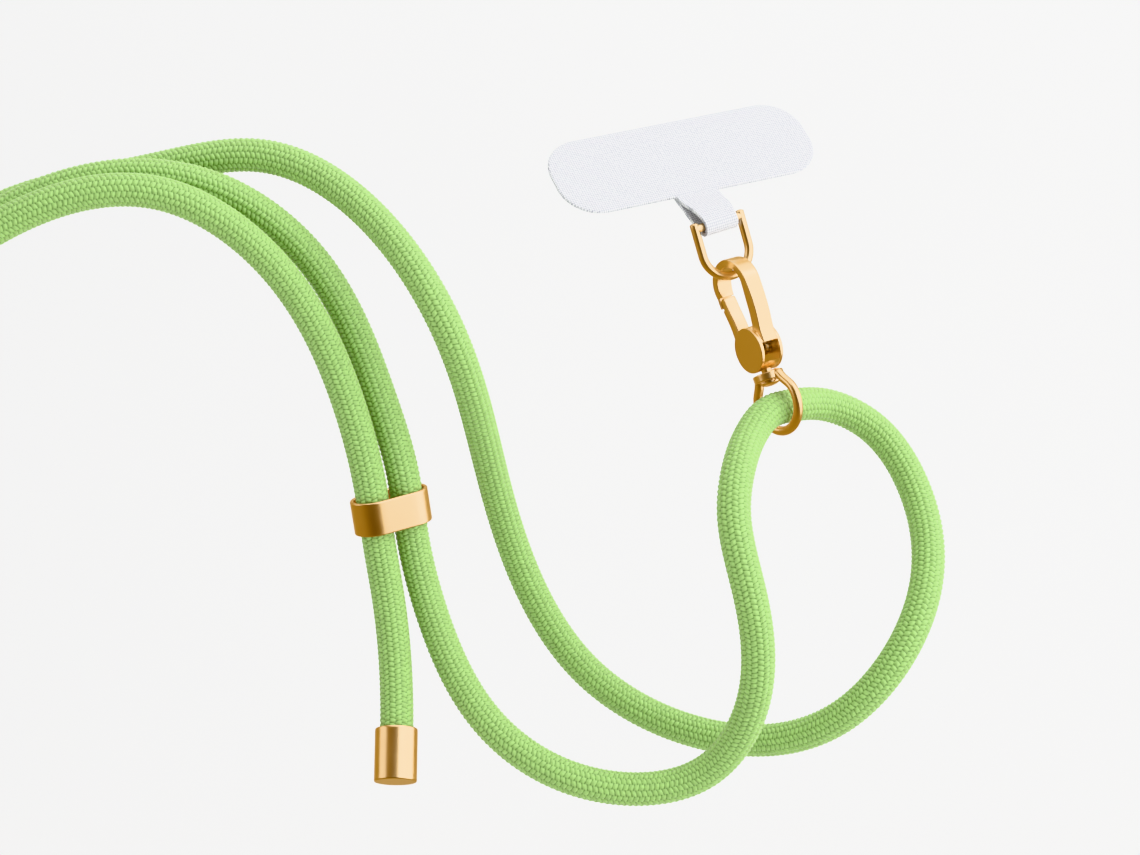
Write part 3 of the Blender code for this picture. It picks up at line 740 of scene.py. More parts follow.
def braid_relief(columns, rows):
    """(across, along, height, rise) of the braid on a grid that follows its slant.

    The rope's round is cut into columns and its length into rows, and each cell is one plump float, with
    points at its ends, its shoulders and its middle. With x across the column and y along the row, its height
    is one, less the side drop times the cube of abs(2 x - 1), less the end drop times the cube of
    abs(2 y - 1). Neighbouring columns lie half a row apart, so each float's shoulders are moved along the
    rope to where they are in its own row, and closer together towards its two sides. Between two columns the
    seam is deepest at the end of each float. The rise is a zigzag, up over an even column and down over an
    odd one, which lays the floats in Vs.
    """
    j = np.arange(columns * STEPS_IN_CELL)[None]
    i = np.arange(rows)[:, None]
    column = j // STEPS_IN_CELL
    odd = column % 2
    x = np.array(STATIONS_ACROSS)[j % STEPS_IN_CELL]
    step = i % STEPS_IN_CELL
    own_step = (step + 2 * odd) % STEPS_IN_CELL
    shoulder = FLOAT_SHOULDER + FLOAT_SHOULDER_MORE * np.abs(2 * x - 1) ** 2
    y = np.choose(own_step, [0 * shoulder, shoulder, 0.5 + 0 * shoulder, 1 - shoulder])
    own = i // STEPS_IN_CELL + y - 0.5 * odd + (step + 2 * odd) // STEPS_IN_CELL
    at_seam = j % STEPS_IN_CELL == 0
    along = np.where(at_seam, i / STEPS_IN_CELL, own)
    height = 1 - SIDE_DROP * np.abs(2 * x - 1) ** 3 - END_DROP * np.abs(2 * y - 1) ** 3
    seam = np.where(step % 2 == 0, SEAM_AT_ENDS, SEAM_AT_MIDDLE)
    height = np.where(at_seam, seam, np.maximum(height, 0.0))
    rise = np.where(odd == 0, x, 1 - x) + 0 * i
    return column + x, along, height, rise


def between(rows, at):
    """The rows' values at whole and part row numbers, on a straight line from each row to the next."""
    low = np.minimum(at.astype(int), len(rows) - 2)
    share = (at - low)[..., None]
    return rows[low] * (1 - share) + rows[low + 1] * share


def fill_mesh(name, points, quads, uvs, relief, material):
    """A mesh of quads with a UV map and one number per point named relief, all set as whole arrays."""
    mesh = bpy.data.meshes.new(name)
    mesh.vertices.add(len(points))
    mesh.vertices.foreach_set("co", points.ravel())
    mesh.loops.add(quads.size)
    mesh.loops.foreach_set("vertex_index", quads.ravel())
    mesh.polygons.add(len(quads))
    mesh.polygons.foreach_set("loop_start", np.arange(0, quads.size, 4))
    mesh.polygons.foreach_set("loop_total", np.full(len(quads), 4))
    mesh.update(calc_edges=True)
    layer = mesh.uv_layers.new(name="UVMap")
    layer.data.foreach_set("uv", uvs.ravel())
    # The relief is also the mask for the painted shade in the braid's gaps.
    numbers = mesh.attributes.new("relief", "FLOAT", "POINT")
    numbers.data.foreach_set("value", relief.ravel())
    mesh.validate()
    mesh.shade_smooth()
    mesh.materials.append(material)
    made = bpy.data.objects.new(name, mesh)
    bpy.context.scene.collection.objects.link(made)
    return made


def node(tree, kind, at, **values):
    """A shader node with some of its inputs or settings filled in."""
    made = tree.nodes.new(kind)
    made.location = at
    for key, value in values.items():
        if key in made.inputs:
            made.inputs[key].default_value = value
        else:
            setattr(made, key, value)
    return made


def new_material(name):
    """An empty node material with its Principled shader."""
    made = bpy.data.materials.new(name)
    made.use_nodes = True
    return made, made.node_tree, made.node_tree.nodes["Principled BSDF"]


def variation_group():
    """Shared group: slow and fine noise mixed into one value between Low and High, and a matching height."""
    name = "surface_variation"
    if name in bpy.data.node_groups:
        return bpy.data.node_groups[name]
    group = bpy.data.node_groups.new(name, "ShaderNodeTree")
    for label, kind, default in (
        ("Vector", "NodeSocketVector", (0, 0, 0)),
        ("Scale", "NodeSocketFloat", 400.0),
        ("Low", "NodeSocketFloat", 0.0),
        ("High", "NodeSocketFloat", 1.0),
    ):
        group.interface.new_socket(label, in_out="INPUT", socket_type=kind).default_value = default
    group.interface.new_socket("Value", in_out="OUTPUT", socket_type="NodeSocketFloat")
    group.interface.new_socket("Height", in_out="OUTPUT", socket_type="NodeSocketFloat")
    enter = node(group, "NodeGroupInput", (-700, 0))
    leave = node(group, "NodeGroupOutput", (300, 0))
    noise = node(group, "ShaderNodeTexNoise", (-450, 60), Detail=4.0, Roughness=0.55)
    ramp = node(group, "ShaderNodeMapRange", (-100, 0))
    group.links.new(enter.outputs["Vector"], noise.inputs["Vector"])
    group.links.new(enter.outputs["Scale"], noise.inputs["Scale"])
    group.links.new(noise.outputs["Fac"], ramp.inputs["Value"])
    ramp.inputs["From Min"].default_value = 0.3
    ramp.inputs["From Max"].default_value = 0.7
    group.links.new(enter.outputs["Low"], ramp.inputs["To Min"])
    group.links.new(enter.outputs["High"], ramp.inputs["To Max"])
    group.links.new(ramp.outputs["Result"], leave.inputs["Value"])
    group.links.new(noise.outputs["Fac"], leave.inputs["Height"])
    return group


def add_variation(tree, at, scale, low, high):
    """The shared variation on Object coordinates, placed in a material."""
    made = node(tree, "ShaderNodeGroup", at)
    made.node_tree = variation_group()
    coordinates = node(tree, "ShaderNodeTexCoord", (at[0] - 220, at[1]))
    tree.links.new(coordinates.outputs["Object"], made.inputs["Vector"])
    made.inputs["Scale"].default_value = scale
    made.inputs["Low"].default_value = low
    made.inputs["High"].default_value = high
    return made


def gold_material():
    """Polished gold plating: full metal under a clear coat, with a faint change of roughness."""
    if "gold_plating" in bpy.data.materials:
        return bpy.data.materials["gold_plating"]
    settings = bpy.context.scene.strap_metal
    made, tree, shader = new_material("gold_plating")
    shader.inputs["Base Color"].default_value = (*settings.colour, 1.0)
    shader.inputs["Metallic"].default_value = 1.0
    shader.inputs["Coat Weight"].default_value = 1.0
    shader.inputs["Coat Roughness"].default_value = 0.2
    shader.inputs["Coat IOR"].default_value = 2.1
    change = add_variation(tree, (-500, 0), 260.0, settings.roughness * 0.9, settings.roughness * 1.15)
    tree.links.new(change.outputs["Value"], shader.inputs["Roughness"])
    return made


def spring_material():
    """Warm spring wire."""
    settings = bpy.context.scene.strap_metal
    made, tree, shader = new_material("spring_wire")
    shader.inputs["Base Color"].default_value = (*settings.spring_colour, 1.0)
    shader.inputs["Metallic"].default_value = 1.0
    change = add_variation(tree, (-500, 0), 900.0, 0.25, 0.4)
    tree.links.new(change.outputs["Value"], shader.inputs["Roughness"])
    return made


def rope_material():
    """Braided yarn: the floats' colour on top, painted shade in the gaps below, and fine threads along each
    float.
    """
    settings = bpy.context.scene.strap_rope
    made, tree, shader = new_material("rope_braid")
    relief = node(tree, "ShaderNodeAttribute", (-900, 200), attribute_name="relief")
    # Painted shade: the relief blends towards the dark gap colour where the floats dip, painting the shade
    # that falls between them.
    ramp = node(tree, "ShaderNodeValToRGB", (-650, 260))
    ramp.color_ramp.elements[0].position = 0.0
    ramp.color_ramp.elements[0].color = (*settings.painted_gap_shade, 1.0)
    ramp.color_ramp.elements[1].position = 0.45
    ramp.color_ramp.elements[1].color = (*settings.colour, 1.0)
    tree.links.new(relief.outputs["Fac"], ramp.inputs["Fac"])
    uv = node(tree, "ShaderNodeUVMap", (-1100, -120), uv_map="UVMap")
    threads = node(tree, "ShaderNodeTexWave", (-850, -120), bands_direction="Y", Scale=2.2, Detail=1.0)
    threads.inputs["Distortion"].default_value = 0.8
    tree.links.new(uv.outputs["UV"], threads.inputs["Vector"])
    change = add_variation(tree, (-850, -420), 900.0, 0.86, 1.06)
    shade = node(tree, "ShaderNodeMix", (-300, 260), data_type="RGBA", blend_type="MULTIPLY")
    shade.inputs["Factor"].default_value = 1.0
    tree.links.new(ramp.outputs["Color"], shade.inputs["A"])
    tree.links.new(change.outputs["Value"], shade.inputs["B"])
    tree.links.new(shade.outputs["Result"], shader.inputs["Base Color"])
    bump = node(tree, "ShaderNodeBump", (-300, -120), Strength=0.35, Distance=0.00008)
    tree.links.new(threads.outputs["Fac"], bump.inputs["Height"])
    tree.links.new(bump.outputs["Normal"], shader.inputs["Normal"])
    shader.inputs["Roughness"].default_value = 0.5
    shader.inputs["Sheen Weight"].default_value = 0.3
    shader.inputs["Sheen Roughness"].default_value = 0.4
    return made


def core_material():
    """The plain yarn inside the braid, coloured with the braid's painted gap shade."""
    settings = bpy.context.scene.strap_rope
    made, tree, shader = new_material("rope_core_yarn")
    change = add_variation(tree, (-700, 0), 700.0, 0.8, 1.1)
    shade = node(tree, "ShaderNodeMix", (-300, 0), data_type="RGBA", blend_type="MULTIPLY")
    shade.inputs["Factor"].default_value = 1.0
    shade.inputs["A"].default_value = (*settings.painted_gap_shade, 1.0)
    tree.links.new(change.outputs["Value"], shade.inputs["B"])
    tree.links.new(shade.outputs["Result"], shader.inputs["Base Color"])
    shader.inputs["Roughness"].default_value = 0.85
    return made


def cloth_material():
    """Plain weave: two crossed sets of yarns from the UV map, in millimetres, darker flecks, and painted
    shade in the gaps between the yarns.
    """
    if "patch_cloth" in bpy.data.materials:
        return bpy.data.materials["patch_cloth"]
    settings = bpy.context.scene.strap_cloth
    made, tree, shader = new_material("patch_cloth")
    uv = node(tree, "ShaderNodeUVMap", (-1500, 0), uv_map="UVMap")
    scale = 1.0 / (settings.yarn_pitch * 1000)
    warp = node(tree, "ShaderNodeTexWave", (-1200, 200), bands_direction="X", Distortion=0.6, Detail=1.5)
    weft = node(tree, "ShaderNodeTexWave", (-1200, -100), bands_direction="Y", Distortion=0.6, Detail=1.5)
    for wave in (warp, weft):
        wave.inputs["Scale"].default_value = scale * math.pi / 10.0
        wave.inputs["Detail Scale"].default_value = 1.6
        tree.links.new(uv.outputs["UV"], wave.inputs["Vector"])
    product = node(tree, "ShaderNodeMath", (-950, 60), operation="MULTIPLY")
    tree.links.new(warp.outputs["Fac"], product.inputs[0])
    tree.links.new(weft.outputs["Fac"], product.inputs[1])
    flecks = node(tree, "ShaderNodeTexNoise", (-1200, -400), Scale=1.9, Detail=3.0, Roughness=0.7)
    tree.links.new(uv.outputs["UV"], flecks.inputs["Vector"])
    level = node(tree, "ShaderNodeMath", (-750, -120), operation="MULTIPLY_ADD")
    level.inputs[1].default_value = 0.7
    tree.links.new(flecks.outputs["Fac"], level.inputs[0])
    tree.links.new(product.outputs["Value"], level.inputs[2])
    # Low values, at flecks and between the yarns, take the darker colour: real flecks, and painted shade in
    # the weave's gaps.
    ramp = node(tree, "ShaderNodeValToRGB", (-500, 100))
    ramp.color_ramp.elements[0].position = 0.30
    ramp.color_ramp.elements[0].color = (*settings.fleck_and_gap_shade_colour, 1.0)
    ramp.color_ramp.elements[1].position = 0.62
    ramp.color_ramp.elements[1].color = (*settings.colour, 1.0)
    tree.links.new(level.outputs["Value"], ramp.inputs["Fac"])
    tree.links.new(ramp.outputs["Color"], shader.inputs["Base Color"])
    bump = node(tree, "ShaderNodeBump", (-300, -200), Strength=0.6, Distance=0.00012)
    tree.links.new(level.outputs["Value"], bump.inputs["Height"])
    tree.links.new(bump.outputs["Normal"], shader.inputs["Normal"])
    shader.inputs["Roughness"].default_value = 0.82
    shader.inputs["Sheen Weight"].default_value = 0.15
    return made


class STRAP_OT_camera(bpy.types.Operator):
    """Makes the camera at the photographed view"""

    bl_idname = "strap.camera"
    bl_label = "Camera"

    def execute(self, context):
        data = bpy.data.cameras.new("camera")
        data.sensor_width = SENSOR_WIDTH
        data.lens = CAMERA_LENS
        data.clip_start = 0.01
        camera = bpy.data.objects.new("camera", data)
        camera.location = CAMERA_PLACE
        camera.rotation_euler = (math.radians(90.0), 0.0, 0.0)
        context.scene.collection.objects.link(camera)
        context.scene.camera = camera
        context.scene.view_settings.view_transform = "Khronos PBR Neutral"
        return {"FINISHED"}


class STRAP_OT_rope(bpy.types.Operator):
    """Braids the rope over its core along its whole route"""

    bl_idname = "strap.rope"
    bl_label = "Braided rope"

    def execute(self, context):
        settings = context.scene.strap_rope
        step = settings.row_height / STEPS_IN_CELL
        points, tangents, normals = rope_line(step)
        sides = np.cross(tangents, normals)
        count = len(points)
        across, along, height, rise = braid_relief(settings.columns, count)
        round_count = height.shape[1]
        angle = across[0] / settings.columns * 2 * math.pi

        along = (along + (rise - 0.5) * settings.slant) * STEPS_IN_CELL
        along = np.clip(along, 0, count - 1)
        radius = settings.diameter / 2 - settings.braid_depth * (1 - height)
        outward = (
            between(normals, along) * np.cos(angle)[None, :, None]
            + between(sides, along) * np.sin(angle)[None, :, None]
        )
        grid = between(points, along) + outward * radius[..., None]

        uv_x = np.append(across[0], settings.columns)
        uv_y = np.arange(count) / STEPS_IN_CELL
        material = rope_material()
        sheaths = []
        cuts = np.linspace(0, count - 1, SHEATH_PIECES + 1).astype(int)
        for number, (start, end) in enumerate(zip(cuts[:-1], cuts[1:]), 1):
            part, relief = grid[start : end + 1], height[start : end + 1]
            quads = lattice(len(part), round_count, wrap_columns=True)
            quad_row, quad_column = np.divmod(np.arange(len(quads)), round_count)
            corner_x = np.stack([quad_column, quad_column + 1, quad_column + 1, quad_column], axis=1)
            corner_y = np.stack([quad_row, quad_row, quad_row + 1, quad_row + 1], axis=1) + start
            uvs = np.stack([uv_x[corner_x], uv_y[corner_y]], axis=-1)
            name = f"rope_braid_{number}"
            sheaths.append(fill_mesh(name, part.reshape(-1, 3), quads, uvs, relief, material))

        spread = np.append(np.arange(0, count - 1, CORE_STEP), count - 1)
        core_radius = settings.diameter / 2 * CORE_SHARE
        turn = np.linspace(0, 2 * math.pi, CORE_SIDES, endpoint=False)[None, :, None]
        core_out = normals[spread][:, None] * np.cos(turn) + sides[spread][:, None] * np.sin(turn)
        core_grid = points[spread][:, None] + core_out * core_radius
        core = mesh_object("rope_core", *skin(core_grid), core_material())
        for made in [core, *sheaths]:
            made.visible_glossy = False
            place(made, "strap", "rope")
        return {"FINISHED"}


class STRAP_OT_sliders(bpy.types.Operator):
    """Makes the two oval bands round the strands"""

    bl_idname = "strap.sliders"
    bl_label = "Sliders"

    def execute(self, context):
        middle = slider_inner + SLIDER_WALL / 2
        half = strand_pitch / 2
        straight = np.linspace(-half, half, 7)[1:-1]
        path = np.concatenate(
            [
                arc((half, 0), middle, -90, 90, 36),
                np.stack([straight[::-1], np.full(5, middle)], axis=1),
                arc((-half, 0), middle, 90, 270, 36),
                np.stack([straight, np.full(5, -middle)], axis=1),
            ]
        )
        section = box_section(SLIDER_WALL, SLIDER_HEIGHT, SLIDER_EDGE)
        points, faces = skin(swept(path, section, "XY", closed=True), wrap_rows=True)
        for name, matrix in (("slider_front", front_slider_frame), ("slider_back", back_slider_frame)):
            band = mesh_object("band_" + name, moved(matrix, points), faces, gold_material())
            place(band, "strap", name)
        return {"FINISHED"}


class STRAP_OT_end_caps(bpy.types.Operator):
    """Makes the two end caps"""

    bl_idname = "strap.end_caps"
    bl_label = "End caps"

    def execute(self, context):
        outer = filleted(
            [
                (0.0, -CAP_LENGTH),
                (cap_radius, -CAP_LENGTH),
                (cap_radius, -CAP_LENGTH * 0.5),
            ],
            CAP_EDGE,
        )
        mouth = filleted(
            [
                (cap_radius, -CAP_LENGTH * 0.4),
                (cap_radius, 0.0),
                (cap_bore, 0.0),
                (cap_bore, CAP_FLOOR - CAP_LENGTH),
                (0.0, CAP_FLOOR - CAP_LENGTH),
            ],
            CAP_MOUTH_EDGE,
            steps=7,
        )
        points, faces = turned(np.concatenate([outer, mouth]))
        for name, matrix in (("end_cap_front", front_cap_frame), ("end_cap_back", back_cap_frame)):
            cup = mesh_object("cup_" + name, moved(matrix, points), faces, gold_material())
            place(cup, "strap", name)
        return {"FINISHED"}


class STRAP_OT_swivel(bpy.types.Operator):
    """Makes the round ring with its collar, and the rivet that turns in it"""

    bl_idname = "strap.swivel"
    bl_label = "Swivel ring and rivet"

    def execute(self, context):
        half = collar_top - COLLAR_HEIGHT / 2
        tip_height = half + (collar_top - half) * SHOULDER_TIP_RISE
        end = np.array([(SHOULDER_REACH, half), (SHOULDER_END, tip_height)])
        around = arc((0, 0), ring_middle, 90 + SHOULDER_DEG, 450 - SHOULDER_DEG, 9)
        path = np.concatenate([end[::-1] * (-1, 1), around, end])
        ring = skin(swept(eased(path, 140), round_section(RING_WIRE / 2), "XZ"))
        hole = SHANK_RADIUS + RUNNING_GAP
        outline = [
            (hole, collar_bottom),
            (COLLAR_RADIUS, collar_bottom),
            (COLLAR_RADIUS, collar_top),
            (hole, collar_top),
        ]
        collar = turned(filleted(outline, COLLAR_EDGE, closed=True), wrap=True)
        points, faces = joined([ring, collar])
        made = mesh_object("ring_and_collar", moved(ring_frame, points), faces, gold_material())
        place(made, "strap", "swivel_ring")

        head_top = collar_bottom - RUNNING_GAP
        angle = np.linspace(0, math.pi / 2, 9)
        drop = RIVET_HEIGHT * (1 - RIVET_DOME_SHARE + RIVET_DOME_SHARE * np.cos(angle))
        dome = np.stack([RIVET_RADIUS * np.sin(angle), head_top - drop], axis=1)
        shank_top = pivot_height - CHEEK_RADIUS + FLOOR_THICKNESS * 0.5
        rim = filleted(
            [
                (RIVET_RADIUS, head_top - RIVET_HEIGHT * 0.2),
                (RIVET_RADIUS, head_top),
                (SHANK_RADIUS, head_top),
                (SHANK_RADIUS, shank_top),
                (0.0, shank_top),
            ],
            RIVET_EDGE,
        )
        points, faces = turned(np.concatenate([dome, rim]), 48)
        made = mesh_object("rivet", moved(hook_frame, points), faces, gold_material())
        place(made, "hook", "swivel_post")
        return {"FINISHED"}


def leg_path(side, shares):
    """The middle line of one leg of the hook, from beside the cheeks' recess up to the bow; side is 1 or -1.

    shares say how much of the way from the waist's width to the bow's is reached at each of the four heights
    above the waist.
    """
    rise = bow_centre - waist_height
    widen = leg_middle - waist_middle
    rows = [(waist_middle * ROOT_WIDTH_SHARE + widen * shares[0], pivot_height + ROOT_HEIGHT)]
    for share, part in zip(shares, LEG_HEIGHT_SHARES):
        rows.append((waist_middle + widen * share, waist_height + rise * part))
    return np.array([(side * x, z) for x, z in rows])


class STRAP_OT_hook(bpy.types.Operator):
    """Makes the hook's band, lip, cheeks, floor and pin"""

    bl_idname = "strap.hook"
    bl_label = "Snap hook"

    def execute(self, context):
        nose_end = gate_top + RUNNING_GAP
        bow = arc((0, bow_centre), leg_middle, 0, 180, 56)
        nose = np.stack([np.full(5, -leg_middle), np.linspace(bow_centre, nose_end, 6)[1:]], axis=1)
        path = np.concatenate([eased(leg_path(1, SPINE_SHARES), 40), bow[1:], nose])
        thinning = 1 - BOW_THICKNESS / BAND_THICKNESS
        rise = np.clip((path[:, 1] - bow_centre + leg_middle) / (leg_middle * BOW_THINNING_RUN), 0, 1)
        rise = 3 * rise**2 - 2 * rise**3
        widths = 1 - np.where(path[:, 0] > 0, SPINE_NARROWING, NOSE_NARROWING) * (1 - rise)
        section = box_section(BAND_THICKNESS, BAND_WIDTH, BAND_EDGE)
        shapes = [skin(swept(path, section, "XZ", widths=widths, depths=1 - thinning * rise))]

        lip_middle = leg_middle + (BAND_THICKNESS - LIP_THICKNESS) / 2
        lip_z = np.linspace(nose_end + BAND_THICKNESS * 0.5, nose_end - LIP_LENGTH, 9)
        lip = np.stack([np.full(len(lip_z), -lip_middle), lip_z], axis=1)
        lip_edge = LIP_THICKNESS * LIP_EDGE_SHARE
        lip_section = box_section(LIP_THICKNESS * LIP_SEAT_SHARE, BAND_WIDTH * GATE_WIDTH_SHARE, lip_edge)
        shapes.append(skin(swept(lip, lip_section, "XZ")))

        lift = shift(0, 0, pivot_height)
        for side in (-1, 1):
            y = sorted([side * SLOT_WIDTH / 2, side * cheek_outer])
            outline = [(0.0, y[0]), (CHEEK_RADIUS, y[0]), (CHEEK_RADIUS, y[1]), (0.0, y[1])]
            points, faces = turned(filleted(outline, CHEEK_EDGE), 128, "Y")
            shapes.append((moved(lift, points), faces))

        room = HUB_RADIUS + RUNNING_GAP
        outer, inner = CHEEK_RADIUS - FLOOR_INSET, CHEEK_RADIUS - FLOOR_THICKNESS
        end_height = inner * math.sin(math.radians(FLOOR_ENDS_DEG[0]))
        floor_end = 180 - math.degrees(math.asin(end_height / outer))
        floor = np.concatenate(
            [
                arc((0, 0), outer, floor_end, 540 - floor_end, 40),
                arc((0, 0), inner, *FLOOR_ENDS_DEG[::-1], 40),
            ]
        )
        root_low = math.degrees(math.asin(ROOT_HEIGHT / outer))
        root = np.concatenate(
            [
                arc((0, 0), outer, root_low, ROOT_TOP_DEG, 30),
                [(room * x, room * z) for x, z in ROOT_HOLLOW],
                [(room * ROOT_HOLLOW_END, ROOT_HEIGHT)],
            ]
        )
        for outline in (floor, root):
            half = SLOT_WIDTH / 2 + FLOOR_OVERLAP
            points, faces = prism(outline, -half, half, FLOOR_EDGE)
            shapes.append((moved(lift, points), faces))
        end = cheek_outer * PIN_LENGTH_SHARE
        points, faces = turned([(0, -end), (PIN_RADIUS, -end), (PIN_RADIUS, end), (0, end)], 32, "Y")
        shapes.append((moved(lift, points), faces))
        points, faces = joined(shapes)
        made = mesh_object("hook_band_and_cheeks", moved(hook_frame, points), faces, gold_material())
        place(made, "hook", "hook_body")
        return {"FINISHED"}


class STRAP_OT_gate(bpy.types.Operator):
    """Makes the gate with its tongue and hub, and the coil spring beside it"""

    bl_idname = "strap.gate"
    bl_label = "Gate and spring"

    def execute(self, context):
        rows = leg_path(-1, GATE_SHARES) - (0, pivot_height)
        top = gate_top - pivot_height
        run = eased(rows, 64)
        end = run[-1, 0]
        run = run[run[:, 1] < top - BAND_THICKNESS * GATE_RUN_END]
        step_z = top - LIP_LENGTH - RUNNING_GAP
        step_rows = [step_z - STEP_SLOPE, step_z + STEP_SLOPE]
        heights = np.unique(np.concatenate([run[:, 1], [*step_rows, top]]))
        x = np.interp(heights, np.append(run[:, 1], top), np.append(run[:, 0], end))
        path = np.stack([x, heights], axis=1)
        thick, thin = GATE_THICKNESS_SHARES
        notched = x + leg_middle + BAND_THICKNESS - LIP_THICKNESS - RUNNING_GAP
        depths = np.where(heights > step_z, notched / BAND_THICKNESS, thick + (thin - thick) * heights / top)
        section = box_section(BAND_THICKNESS, BAND_WIDTH * GATE_WIDTH_SHARE, BAND_EDGE)
        bar = swept(path, section, "XZ", depths=depths)
        bar[..., 2] = np.minimum(bar[..., 2], np.sqrt(gate_swing**2 - bar[..., 0] ** 2))
        shapes = [skin(bar)]

        tongue_middle = -SLOT_WIDTH / 2 + RUNNING_GAP + TONGUE_WIDTH / 2
        arm = [(run[0, 0] * x, HUB_RADIUS * z) for x, z in TONGUE_ARM]
        tongue = box_section(HUB_RADIUS, TONGUE_WIDTH, TONGUE_EDGE) - (0.0, tongue_middle)
        shapes.append(skin(swept(arm, tongue, "XZ")))
        near, far = tongue_middle - TONGUE_WIDTH / 2, tongue_middle + TONGUE_WIDTH / 2
        bore = PIN_RADIUS + RUNNING_GAP
        outline = [(bore, near), (HUB_RADIUS, near), (HUB_RADIUS, far), (bore, far)]
        shapes.append(turned(filleted(outline, HUB_EDGE, closed=True), 64, "Y", wrap=True))
        points, faces = joined(shapes)
        made = mesh_object("gate_bar_and_hub", moved(pivot_frame, points), faces, gold_material())
        place(made, "gate", "gate")

        wire = SPRING_WIDTH / 4
        angle = np.linspace(0, 2 * math.pi * SPRING_TURNS, 121)[:, None]
        high = SLOT_WIDTH / 2 - RUNNING_GAP
        middle = np.linspace(high - SPRING_WIDTH + wire, high - wire, 121)[:, None]
        around = np.linspace(0, 2 * math.pi, 12, endpoint=False)[None]
        reach = SPRING_RADIUS - wire + wire * np.cos(around)
        y = middle + wire * np.sin(around)
        points, faces = skin(np.stack([reach * np.cos(angle), y, reach * np.sin(angle)], axis=-1))
        made = mesh_object("coil_spring", moved(pivot_frame, points), faces, spring_material())
        place(made, "hook", "gate_spring")
        return {"FINISHED"}


class STRAP_OT_d_ring(bpy.types.Operator):
    """Makes the D-ring with rounded wire tips and its bar"""

    bl_idname = "strap.d_ring"
    bl_label = "D-ring"

    def execute(self, context):
        half = D_WIDTH / 2
        straight = D_DEPTH - half
        legs = np.linspace(D_TIP, -straight, 10)[:-1]
        path = np.concatenate(
            [
                np.stack([np.full(9, -half), legs], axis=1),
                arc((0, -straight), half, 180, 360, 72),
                np.stack([np.full(9, half), legs[::-1]], axis=1),
            ]
        )
        wire = D_WIRE / 2
        shares, back = tipped()
        tip = D_TIP_SHARE * wire
        start = [(-half, D_TIP + tip * (1 - b)) for b in back]
        end = [(half, D_TIP + tip * (1 - b)) for b in back[::-1]]
        path = np.concatenate([start, path, end])
        size = np.concatenate([shares, np.ones(len(path) - 2 * len(shares)), shares[::-1]])
        grid = swept(path, round_section(wire), "XZ")
        middle = np.stack([path[:, 0], np.zeros(len(path)), path[:, 1]], axis=1)[:, None]
        grid = middle + (grid - middle) * size[:, None, None]
        bar = swept([(-half, 0.0), (0.0, 0.0), (half, 0.0)], round_section(wire * D_BAR_SHARE), "XZ")
        points, faces = joined([skin(grid), skin(bar)])
        made = mesh_object("d_ring_wire", moved(d_frame, points), faces, gold_material())
        place(made, "hook", "d_ring")
        return {"FINISHED"}


def set_plane_uv(made, matrix):
    """A UV map in millimetres: each corner's x and y in the cloth's own frame."""
    mesh = made.data
    points = np.empty(len(mesh.vertices) * 3)
    mesh.vertices.foreach_get("co", points)
    local = moved(np.linalg.inv(matrix), points.reshape(-1, 3))
    corners = np.empty(len(mesh.loops), int)
    mesh.loops.foreach_get("vertex_index", corners)
    layer = mesh.uv_layers.new(name="UVMap")
    layer.data.foreach_set("uv", (local[corners, :2] * 1000).ravel())


